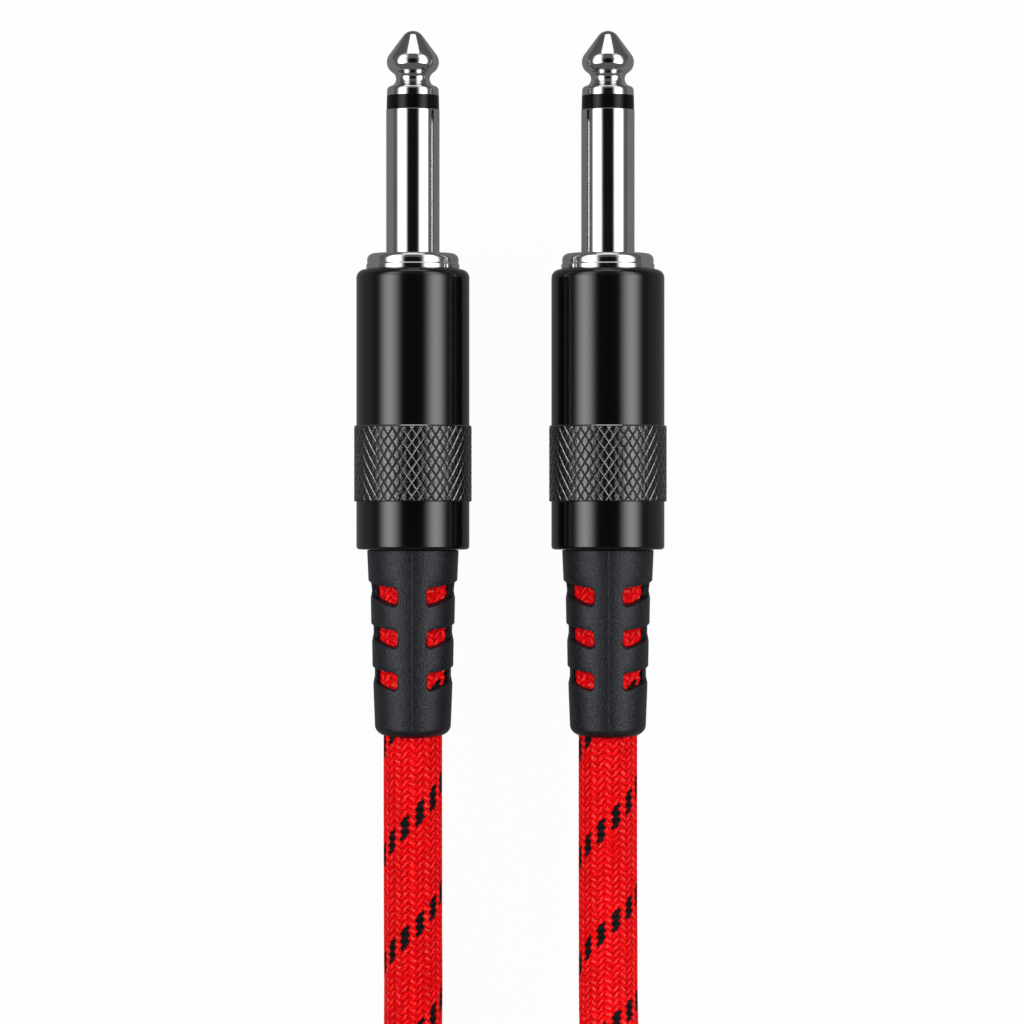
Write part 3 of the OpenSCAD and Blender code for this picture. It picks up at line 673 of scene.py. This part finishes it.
# the barrel's thread on the body: its pitch, and its radius at root and crest, mm
THREAD_PITCH, THREAD_ROOT, THREAD_CREST = 0.75, 4.88, 5.28
COLLAR_R, COLLAR_ROUND, RIM_R = 5.44, 0.75, 5.54
COLLAR_BACK, THREAD_BACK = -1.9, -8.4    # where the collar and the thread end


def thread_ridge(turns):
    """One closed thread ridge, screwed up the body and closed at both ends."""
    low, high, half = THREAD_ROOT - 0.05, THREAD_CREST, THREAD_PITCH / 2
    ridge = chain("thread_ridge", [(low, -half * 0.98), (high, -0.06), (high, 0.06), (low, half * 0.98),
                                   (low, -half * 0.98)])
    pick_all()
    bpy.ops.mesh.remove_doubles(threshold=0.000002)
    shut()
    screw = ridge.modifiers.new("thread", "SCREW")
    screw.axis = "Y"
    screw.screw_offset = THREAD_PITCH * MM
    screw.iterations = turns
    screw.steps = screw.render_steps = 72
    screw.use_merge_vertices = False
    bpy.ops.object.modifier_apply(modifier=screw.name)
    edit(ridge)
    bpy.ops.mesh.select_all(action="DESELECT")
    bpy.ops.mesh.select_non_manifold()
    bpy.ops.mesh.fill_holes(sides=0)
    face_outward()
    return ridge


def make_plug_body():
    """Collar, rim, threaded barrel seat and rear spigot, bored through for the sleeve."""
    back, spigot_r, bore, foot = -10.4, 4.5, 2.83, -6
    outline = ([(bore, foot), (bore, -0.375), (3.205, 0)]
               + arc(COLLAR_R - COLLAR_ROUND, -COLLAR_ROUND, COLLAR_ROUND, 90, 0, 16)
               + [(COLLAR_R, -1.2)] + arc(RIM_R - 0.1, -1.32 - 0.05, 0.1, 60, 0, 5)
               + arc(RIM_R - 0.08, COLLAR_BACK + 0.08, 0.08, 0, -90, 4)
               + [(THREAD_ROOT, COLLAR_BACK), (THREAD_ROOT, -8.25), (4.75, THREAD_BACK),
                  (spigot_r, THREAD_BACK)]
               + arc(spigot_r - 0.15, back + 0.15, 0.15, 0, -90, 3)
               + [(2.53, back), (2.53, foot), (bore, foot)])
    body = turned("collar_and_thread", outline, steps=160)
    ridge = thread_ridge(8)
    ridge.data.transform(Matrix.Translation((0, -8.0 * MM, 0)))
    body = join([body, ridge])
    finish_piece(body, NICKEL)
    fit_to_plugs(body, "plug_body")


# ---- barrel

BARREL_R, KNURL_R, GROOVE_R = 6.725, 7.0, 6.88
KNURL_FROM, KNURL_TO, BARREL_END = -20.45, -29.5, -35.2
KNURL_ROUND, KNURL_ROW = 38, 1.594       # diamonds round the barrel, and from row to row, mm
CROSSING = -24.04      # a crossing of two grooves on the top line, measured from the shoulder


def make_knurl():
    """The knurled band: flat-topped diamonds between two families of narrow crossing grooves."""
    half = math.radians(180 / KNURL_ROUND)
    cells = []
    for family in (0, 1):
        centre = CROSSING + KNURL_ROW * (0.5 if family == 0 else 0.0)
        first = math.ceil((KNURL_TO - KNURL_ROW - centre) / KNURL_ROW)
        last = math.floor((KNURL_FROM + KNURL_ROW - centre) / KNURL_ROW)
        bpy.ops.mesh.primitive_plane_add(size=math.sqrt(0.5))
        column = bpy.context.object
        edit(column)
        bpy.ops.transform.rotate(value=math.radians(45), orient_axis="Z", center_override=(0, 0, 0))
        bpy.ops.transform.resize(value=(2 * GROOVE_R * math.sin(half) * MM, KNURL_ROW * MM, 1),
                                 center_override=(0, 0, 0))
        bpy.ops.transform.translate(value=(0, (centre + first * KNURL_ROW) * MM, GROOVE_R * MM))
        shut()
        # the side corners lie on the cylinder too, so the diamond bends about its tall middle
        for v in column.data.vertices:
            if abs(v.co.x) > 0.0001:
                v.co.z = GROOVE_R * math.cos(half) * MM
        stack = column.modifiers.new("rows", "ARRAY")
        stack.count = last - first + 1
        stack.use_relative_offset = False
        stack.use_constant_offset = True
        stack.constant_offset_displace = (0, KNURL_ROW * MM, 0)
        bpy.ops.object.modifier_apply(modifier=stack.name)
        edit(column)
        pick_all()
        if family:
            bpy.ops.transform.rotate(value=half, orient_axis="Y", center_override=(0, 0, 0))
        bpy.ops.mesh.spin(steps=KNURL_ROUND, angle=math.tau, center=(0, 0, 0), axis=(0, 1, 0), dupli=True,
                          use_auto_merge=False)
        shut()
        cells.append(column)
    band = join(cells)
    band.name = "knurl"
    edit(band)
    pick_all()
    bpy.ops.mesh.remove_doubles(threshold=0.00002)
    face_outward()
    # the roller's teeth never meet quite the same way twice
    for i, v in enumerate(band.data.vertices):
        v.co.y += 0.03 * MM * math.sin(i * 2.4)
        v.co = Matrix.Rotation(0.003 * math.cos(i * 1.7), 3, "Y") @ v.co
    edit(band)
    pick_all()
    # each diamond has the groove's shallow bottom at its edge, then a steep side and a softened edge
    bpy.ops.mesh.inset(thickness=0.00008, depth=0.000047, use_individual=True, use_even_offset=True)
    shut()
    band.data.materials.append(FLAT_BLACK)
    band.data.materials.append(GROOVE_BLACK)
    for face in band.data.polygons:
        face.material_index = 0 if face.select else 1
    edit(band)
    bpy.ops.mesh.inset(thickness=0.00003, depth=0.00006, use_individual=True, use_even_offset=True)
    bpy.ops.mesh.inset(thickness=0.00003, depth=0.00001, use_individual=True, use_even_offset=True)
    # the roller's band ends square
    for place, outer in ((KNURL_FROM - 0.2, True), (KNURL_TO + 0.15, False)):
        pick_all()
        bpy.ops.mesh.bisect(plane_co=(0, place * MM, 0), plane_no=(0, 1, 0), clear_outer=outer,
                            clear_inner=not outer, use_fill=False)
    # the cut ends run down to the band's bevelled shoulders
    edit(band)
    bpy.ops.mesh.select_mode(type="VERT")
    bpy.ops.mesh.select_all(action="DESELECT")
    bpy.ops.mesh.select_non_manifold(extend=False, use_wire=False, use_boundary=True,
                                     use_multi_face=False, use_non_contiguous=False, use_verts=False)
    bpy.ops.mesh.extrude_region_move(TRANSFORM_OT_translate={"value": (0, 0, 0)})
    shut()
    for v in band.data.vertices:
        if v.select:
            flat = Vector((v.co.x, 0, v.co.z))
            flat.length = (GROOVE_R - 0.06) * MM
            v.co.x, v.co.z = flat.x, flat.z
    # and are joined inside the shell, so the band is one closed ring
    bpy.ops.object.mode_set(mode="EDIT")
    bpy.ops.mesh.bridge_edge_loops()
    bpy.ops.mesh.select_mode(type="VERT")
    face_outward()
    return band


def make_barrel():
    """The screw-on barrel: bored, threaded in front, with a rolled knurl and an in-turned rear lip."""
    thread_r, bore, lip_r, lip = 5.35, 5.925, 5.2, BARREL_END + 1.6
    bed = GROOVE_R - 0.02
    outline = ([(thread_r, THREAD_BACK), (thread_r, -1.98), (5.43, COLLAR_BACK)]
               + arc(BARREL_R - 1, COLLAR_BACK - 1, 1, 90, 0, 16)
               + [(BARREL_R, KNURL_FROM + 0.02), (KNURL_R - 0.11, KNURL_FROM),
                  (KNURL_R - 0.01, KNURL_FROM - 0.12), (KNURL_R - 0.03, KNURL_FROM - 0.14),
                  (bed, KNURL_FROM - 0.16), (bed, KNURL_TO + 0.12), (KNURL_R - 0.03, KNURL_TO + 0.1),
                  (KNURL_R - 0.11, KNURL_TO), (BARREL_R, KNURL_TO - 0.02)]
               + arc(BARREL_R - 0.4, BARREL_END + 0.4, 0.4, 0, -90, 8)
               + [(lip_r, BARREL_END), (lip_r, lip), (bore, lip), (bore, THREAD_BACK),
                  (thread_r, THREAD_BACK)])
    barrel = turned("barrel_shell", outline, steps=160)
    barrel.data.materials.append(BARREL_BLACK)
    barrel.data.materials.append(GROOVE_BLACK)
    # the lacquer also pools on the band's front bevel
    for face in barrel.data.polygons:
        if KNURL_FROM - 0.12 < face.center.y / MM < KNURL_FROM and face.center.xz.length > 6.8 * MM:
            face.material_index = 1
    barrel = join([barrel, make_knurl()])
    finish_piece(barrel, angle=20)
    fit_to_plugs(barrel, "barrel", "plug_barrel")


# ---- boot

BOOT_END, BOOT_R, BOOT_END_R = -57.5, 5.45, 4.48
SLOT_FRONTS = [-38.75 - row * 5.08 for row in range(3)]
# a slot's length at the axis's height, mm, and how far its front and rear walls lean back for each mm
# of height
SLOT_LONG, FRONT_LEAN, REAR_LEAN = 1.3, 0.2, 0.42
# half the spine's width, and how far the web at the boot's side lies below its outside, mm
SPINE, WEB_DOWN = 1.72, 0.24
# the turned-back braid: its ends, how far it stands off the cord, and how much it swells to the front, mm
CUFF_FRONT, CUFF_REAR, CUFF_OVER, CUFF_SWELL = -31.45, -52.89, 0.58, 0.25


def boot_out(z):
    """The boot's outside radius, which tapers to the rear."""
    return BOOT_END_R + (BOOT_R - BOOT_END_R) * (z - BOOT_END) / (BARREL_END - BOOT_END)


# (place, share of the width that is missing there)
SIDE_STEPS = ((-57.5, 0.0), (-52.0, 0.008), (-50.2, 0.014), (-48.9, 0.008), (-45.6, 0.027), (-44.9, 0.028),
              (-44.0, 0.02), (-43.6, 0.028), (-40.6, 0.036), (-39.9, 0.034), (-39.3, 0.01), (-38.9, 0.0))


def between(steps, at):
    """The value at a place between steps of (place, value)."""
    for (a, low), (b, high) in zip(steps, steps[1:]):
        if a <= at < b:
            return low + (high - low) * (at - a) / (b - a)
    return 0.0


def bore_in(z):
    """The boot's bore follows the turned-back braid, which narrows to the rear."""
    return CORD_R + CUFF_OVER + CUFF_SWELL * (z - CUFF_REAR) / (CUFF_FRONT - CUFF_REAR) + 0.08


def slot_cutter(side, z):
    """A block that cuts one slot on one side, above and below, in mm. Its walls slant, its inner end is
    rounded, and it leaves a web at the boot's side."""
    far = 7.0
    front, rear = z - FRONT_LEAN * far, z - SLOT_LONG - REAR_LEAN * far
    block = chain("slot_cutter", [(0, z), (far, front), (far, rear), (0, z - SLOT_LONG), (-far, rear),
                                  (-far, front)], 1.0)
    pick_all()
    bpy.ops.mesh.edge_face_add()
    bpy.ops.mesh.extrude_region_move(TRANSFORM_OT_translate={"value": (0, 0, 5.0)})
    pick_all()
    # the outline's first figure is the height above the plug's axis, and the block grows away from the spine
    bpy.ops.transform.translate(value=(0, 0, SPINE))
    bpy.ops.mesh.normals_make_consistent(inside=False)
    # the slanting walls are rounded where they meet the inner end
    pick_edges(block, lambda a, b: abs(a.z - SPINE) < 0.001 and abs(b.z - SPINE) < 0.001
               and abs(abs(a.x) - abs(b.x)) > 1)
    bpy.ops.mesh.bevel(offset=0.62, segments=8, affect="EDGES", clamp_overlap=True)
    shut()
    # outline x becomes height, and the extrusion's z becomes the way to the side
    block.data.transform(Matrix(((0, 0, side, 0), (0, 1, 0, 0), (1, 0, 0, 0), (0, 0, 0, 1))))
    edit(block)
    face_outward()
    # the web's shape is taken out of the block: 1.5 mm above and below the axis, outside the bore
    bpy.ops.mesh.primitive_cylinder_add(vertices=128, radius=boot_out(z - SLOT_LONG / 2) - WEB_DOWN, depth=16,
                                        location=(0, z - 3, 0), rotation=(math.radians(90), 0, 0))
    web = bpy.context.object
    bpy.ops.object.transform_apply(location=True, rotation=True, scale=True)
    edit(web)
    bore = side * (bore_in(z - SLOT_LONG) - 0.08)
    for place, way in (((bore, 0, 0), (side, 0, 0)), ((0, 0, 1.5), (0, 0, -1)), ((0, 0, -1.5), (0, 0, 1))):
        pick_all()
        bpy.ops.mesh.bisect(plane_co=place, plane_no=way, clear_inner=True, use_fill=True)
    face_outward()
    cut(block, web)
    return block


def cut(piece, tool):
    """Takes the tool's shape out of the piece."""
    choose(piece)
    away = piece.modifiers.new("cut", "BOOLEAN")
    away.operation = "DIFFERENCE"
    away.solver = "MANIFOLD"
    away.object = tool
    bpy.ops.object.modifier_apply(modifier=away.name)
    bpy.data.objects.remove(tool)


def soften_slots(boot):
    """Rounds the slots' edges on the boot's outside, away from the web, as in a mould."""
    edit(boot)
    pick_all()
    bpy.ops.mesh.remove_doubles(threshold=0.015)
    pick_edges(boot, lambda *ends: all(-55 < p.y < -38 and abs(p.z) > 2
                                       and abs(math.hypot(p.x, p.z) - boot_out(p.y)) < 0.03 for p in ends),
               sharp=35)
    bpy.ops.mesh.bevel(offset=0.12, segments=3, affect="EDGES", clamp_overlap=False)
    shut()


def flare_web(p):
    """Moves a point of the boot's outside: the web flares out to the boot's side behind each slot."""
    for front in SLOT_FRONTS:
        rear = front - SLOT_LONG - REAR_LEAN * abs(p.z)
        outside = math.hypot(p.x, p.z) > boot_out(p.y) - 0.05
        if outside and abs(p.z) < 1.7 and abs(p.y - rear) < 0.06:
            p.x -= math.copysign(0.2 * (1 - p.z ** 2 / 2.9), p.x)


def make_boot():
    """The strain relief: a tapered shell with three rows of slots on each side of a spine, top and bottom."""
    flange_r, flange_z, neck_r, neck_z = 5.825, -32.05, 5.1, BARREL_END + 1.65
    tail_z, mouth_r, mouth_z = BARREL_END - 0.05, 3.65, -53.29
    outline = ([(bore_in(flange_z), flange_z), (flange_r, flange_z), (flange_r, neck_z), (neck_r, neck_z),
                (neck_r, tail_z), (boot_out(tail_z) - 0.1, tail_z), (boot_out(tail_z - 0.1), tail_z - 0.1)]
               + [(boot_out(z), z) for z in (-38, -41, -44, -46.1, -49, -51.1, -53)]
               + arc(boot_out(BOOT_END + 1) - 1, BOOT_END + 1, 1, 0, -60, 8)
               + arc(mouth_r + 0.06, BOOT_END + 0.06, 0.06, -90, -180, 3)
               + [(mouth_r, mouth_z), (bore_in(-52.9), -52.99), (bore_in(flange_z), flange_z)])
    # cut at a thousand times its size, where the cuts come out clean
    boot = turned("strain_relief_boot", outline, steps=128, unit=1.0)
    for front in SLOT_FRONTS:
        for side in (-1, 1):
            cut(boot, slot_cutter(side, front))
    soften_slots(boot)
    # a ring of points behind each row of slots
    edit(boot)
    for front in SLOT_FRONTS:
        pick_all()
        bpy.ops.mesh.bisect(plane_co=(0, front - 2.2, 0), plane_no=(0, 1, 0))
    pick_all()
    bpy.ops.mesh.remove_doubles(threshold=0.004)
    shut()
    # behind each row of slots the boot is a little narrower from side to side, and its end is cut hollow
    for v in boot.data.vertices:
        flare_web(v.co)
        v.co.y += 0.45 * (v.co.x / BOOT_END_R) ** 2 * smooth_step((-55.0 - v.co.y) / 2.2)
        v.co.x *= 1 - between(SIDE_STEPS, v.co.y)
    boot.data.transform(Matrix.Scale(MM, 4))
    finish_piece(boot, RUBBER, 30)
    fit_to_plugs(boot, "boot", "plug_boot")


# ---- braid inside the plug

def make_braid_ends():
    """The cord's end inside each plug, and the braid turned back over it."""
    for plug, x in PLUGS:
        rings, reach = 75, 37
        places = [i * 0.5 for i in range(rings)]
        points = [Vector((x, -40.5 + s * reach / places[-1], AXIS_H)) for s in places]
        stitches = [s / STITCH for s in places]
        end = tube_mesh(f"{plug}_cord_inside", points, 48, [CORD_R] * rings, stitches, relief=0.08)
        end.data.materials.append(woven_red(f"{plug}_red_braid_inside", stitches[-1], first_tracer=3.0,
                                            loose=False))
        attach(end, "cord_and_pins")
        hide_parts(f"{plug}_cord_end")
        # the cuff: its outside first, then over its front edge and back along the cord
        count = 110
        front, rear = SHOULDER_Y + CUFF_FRONT, SHOULDER_Y + CUFF_REAR
        places = [rear + (front - rear) * i / count for i in range(count + 1)]
        points = [Vector((x, y, AXIS_H)) for y in places]
        radius = [CORD_R + CUFF_OVER + CUFF_SWELL * i / count for i in range(count + 1)]
        stitches = [(y - rear) / STITCH for y in places]
        cuff = tube_mesh(f"{plug}_turned_back_braid", points, 96, radius, stitches, relief=0.1, closed=False)
        radius = [CORD_R + 0.03] * (count + 1)
        inner = tube_mesh("inner", points, 96, radius, stitches, relief=0.0, closed=False)
        inner.data.flip_normals()
        cuff = join([cuff, inner])
        edit(cuff)
        for y in (rear, front):
            pick_edges(cuff, lambda *ends: all(abs(p.y - y * MM) < 1e-6 for p in ends))
            bpy.ops.mesh.bridge_edge_loops()
        shut()
        cuff.data.materials.append(woven_red(f"{plug}_red_braid_turned_back", stitches[-1],
                                             first_tracer=-3.0, loose=True))
        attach(cuff, "cord_and_pins")
        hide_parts(f"{plug}_braid_cuff")


# ---- tie

def make_tie():
    """The strap round the coil: it hugs the turns, and its end lies over its start on the coil's outside."""
    gap, half_wide, bend, half_thick, top = 0.3, 7.0, 4.0, 0.5, 30.95
    crossings = [TIE_ANGLE - COIL_ENTER + 360 * k for k in range(8)]
    radii = [coil_r(t) for t in crossings if 0 <= t <= COIL_SWEEP]
    outside = max(radii) + CORD_R + gap + half_thick
    inside = math.sqrt((min(radii) - CORD_R - gap) ** 2 - half_wide ** 2) - half_thick
    low, high = half_thick + bend, top + half_thick - bend
    # from the middle of the outside, down, under the coil, up inside, over the top, and down again
    loop = ([(outside, 15.0), (outside, 4.6)] + arc(outside - bend, low, bend, 0, -90, 8)
            + arc(inside + bend, low, bend, -90, -180, 8) + arc(inside + bend, high, bend, 180, 90, 8)
            + arc(outside - bend, high, bend, 90, 0, 8)
            + [(outside + over, z) for over, z in ((0, 24.0), (0.25, 21.0), (1.0, 17.0), (1.05, 12.0),
                                                   (1.05, 7.5))])
    spine = smooth_points([Vector((x, z, 0)) for x, z in loop], gap=0.8)
    # the tape's section, which thins at its edges: (place across it, half its thickness)
    section = [(-7.0, 0.25), (-6.9, 0.38), (-6.6, 0.44), (-3.5, 0.45), (0.0, 0.45), (3.5, 0.45), (6.6, 0.44),
               (6.9, 0.38), (7.0, 0.25)]
    ring = section + [(y, -h) for y, h in reversed(section)]
    turn = Matrix.Translation((0, -COIL_BACK, 0)) @ Matrix.Rotation(math.radians(TIE_ANGLE), 4, "Z")
    verts, faces, m = [], [], len(ring)
    for i, p in enumerate(spine):
        d = (spine[min(i + 1, len(spine) - 1)] - spine[max(i - 1, 0)]).normalized()
        out = Vector((d.y, -d.x, 0))
        for y, h in ring:
            q = p + out * h
            verts.append(turn @ Vector((q.x, y, q.y)) * MM)
    for i in range(len(spine) - 1):
        for k in range(m):
            a, b = i * m + k, i * m + (k + 1) % m
            faces.append((a, b, b + m, a + m))
    faces.append(tuple(reversed(range(m))))
    faces.append(tuple((len(spine) - 1) * m + k for k in range(m)))
    strap = add_mesh("coil_strap", verts, faces)
    edit(strap)
    face_outward()
    finish_piece(strap, LOOP_NYLON, 50)
    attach(strap, "cord_and_pins")
    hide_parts("cord_tie")


def dress_hidden_nodes():
    """The CAD nodes that stay, inside the plugs, get their materials."""
    finishes = {"core_tube": NYLON, "rear_insulator": NYLON, "dielectric": NYLON, "ground_clamp": BRASS,
                "tip_lug": BRASS, "inner_sleeve": LINER, "core_conductor": COPPER, "shield_tail": COPPER,
                "tip_solder": SOLDER, "ground_solder": SOLDER}
    for plug, _ in PLUGS:
        for part, material in finishes.items():
            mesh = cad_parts[f"{plug}_{part}"].data
            mesh.materials.clear()
            mesh.materials.append(material)


make_tip()
make_ring()
make_sleeve()
make_plug_body()
make_barrel()
make_boot()
make_braid_ends()
make_tie()
dress_hidden_nodes()


# ---- studio

def add_floor():
    """A pale floor that the camera sees as near white, and that keeps a little of the shadow."""
    bpy.ops.mesh.primitive_plane_add(size=6.0)
    floor = bpy.context.object
    floor.name = "studio_floor"
    material, t = new_material("studio_floor")
    path = node(t, "LightPath")
    seen = node(t, "Math", [path.outputs["Is Camera Ray"], 0.97], "MULTIPLY")
    mirrored = node(t, "Math", [path.outputs["Is Glossy Ray"], path.outputs["Is Transmission Ray"]], "ADD")
    share = node(t, "Math", [mirrored, 0.85, seen], "MULTIPLY_ADD")
    plain = node(t, "BsdfDiffuse", {"Color": "#C4C4C4"})
    # what the plugs mirror of it is a painted reflection: it glows grey, and darker beyond their tips
    place = node(t, "TexCoord").outputs["Object"]
    apart = node(t, "SeparateXYZ", [place])
    ahead = node(t, "MapRange", {"Value": apart.outputs["Y"], "From Min": 0.046, "From Max": 0.056},
                 interpolation_type="SMOOTHSTEP")
    painted_reflection_tone = node(t, "Mix", {0: ahead, 6: "#808080", 7: "#3C3C3C"}, data_type="RGBA")
    tone = node(t, "Mix", {0: mirrored, 6: "#FFFFFF", 7: painted_reflection_tone.outputs[2]}, data_type="RGBA")
    white = node(t, "Emission", {"Color": tone.outputs[2], "Strength": 1.0})
    mix = node(t, "MixShader", [share, plain, white])
    node(t, "OutputMaterial", [mix])
    floor.data.materials.append(material)


def add_lamp(name, place, aim, width, length, radiance):
    """A soft box of that radiance, turned to the plugs, with its length along Y or across."""
    data = bpy.data.lights.new(name, "AREA")
    data.shape = "RECTANGLE"
    data.size, data.size_y = width, length
    data.energy = radiance * math.pi * width * length
    lamp = add_object(name, data)
    place, aim = Vector(place), Vector(aim)
    forward = (aim - place).normalized()
    along = Vector((0, 1, 0)) if abs(forward.y) < 0.5 else Vector((0, 0, 1))
    across = along.cross(-forward).normalized()
    up = (-forward).cross(across)
    lamp.matrix_world = Matrix.Translation(place) @ Matrix((across, up, -forward)).transposed().to_4x4()
    lamp.visible_camera = False
    return data


def hot_middle(data, places):
    """The soft box is brightest along its middle and falls off to both sides. places gives its strength
    along its length, as (share of the length, strength) pairs."""
    data.use_nodes = True
    t = data.node_tree
    t.nodes.clear()
    spot = node(t, "NewGeometry").outputs["Parametric"]
    apart = node(t, "SeparateXYZ", [spot])
    turn = node(t, "Math", [apart.outputs["X"], math.pi], "MULTIPLY")
    hump = node(t, "Math", [turn], "SINE")
    hump = node(t, "Math", [hump, 2.0], "POWER")
    ramp = node(t, "ValToRGB", [apart.outputs["Y"]])
    steps = ramp.color_ramp.elements
    while len(steps) < len(places):
        steps.new(0.5)
    for step, (share, strength) in zip(steps, places):
        step.position = share
        step.color = (strength, strength, strength, 1)
    strength = node(t, "Math", [hump, ramp], "MULTIPLY")
    glow = node(t, "Emission", {"Strength": strength})
    node(t, "OutputLight", [glow])


def add_world():
    """Grey all round, dark straight above, as under a studio's camera rig. The camera sees it white."""
    world = bpy.data.worlds.new("studio")
    world.use_nodes = True
    t = world.node_tree
    t.nodes.clear()
    place = node(t, "TexCoord").outputs["Generated"]
    apart = node(t, "SeparateXYZ", [place])
    above = node(t, "MapRange", {"Value": apart.outputs["Z"], "From Min": 0.90, "From Max": 0.95},
                 interpolation_type="SMOOTHSTEP")
    room = node(t, "Mix", {0: above, 6: (0.17, 0.17, 0.17, 1), 7: (0.01, 0.01, 0.01, 1)}, data_type="RGBA")
    path = node(t, "LightPath")
    seen = node(t, "Mix", {0: path.outputs["Is Camera Ray"], 6: room.outputs[2], 7: (1, 1, 1, 1)},
                data_type="RGBA")
    back = node(t, "Background", {"Color": seen.outputs[2], "Strength": 1.0})
    node(t, "OutputWorld", [back])
    scene.world = world


add_floor()
# two long soft boxes along the plugs, 0.5 m away and tilted, that reach far beyond the tips; in m
NEAR, FAR, AWAY, TILT = -0.16, 1.0, 0.5, math.radians(47.5)
MIDDLE, LONG = (NEAR + FAR) / 2, FAR - NEAR
# strongest over the plugs: (how far along the soft box, strength)
STRENGTHS = ((0.0, 1.0), (0.25, 1.0), (0.29, 0.6), (0.66, 0.6), (0.74, 0.16), (1.16, 0.16))
for name, side in (("left_softbox", -1), ("right_softbox", 1)):
    softbox = add_lamp(name, place=(side * AWAY * math.sin(TILT), MIDDLE, AWAY * math.cos(TILT)),
                       aim=(0, MIDDLE, 0.007), width=0.52, length=LONG, radiance=6.0)
    hot_middle(softbox, [(y / 1.16, strength) for y, strength in STRENGTHS])
add_lamp("front_card", place=(0, 0.62, 0.13), aim=(0, 0.03, 0.007), width=0.38, length=0.22, radiance=2.0)
add_world()
scene.view_settings.view_transform = "Standard"
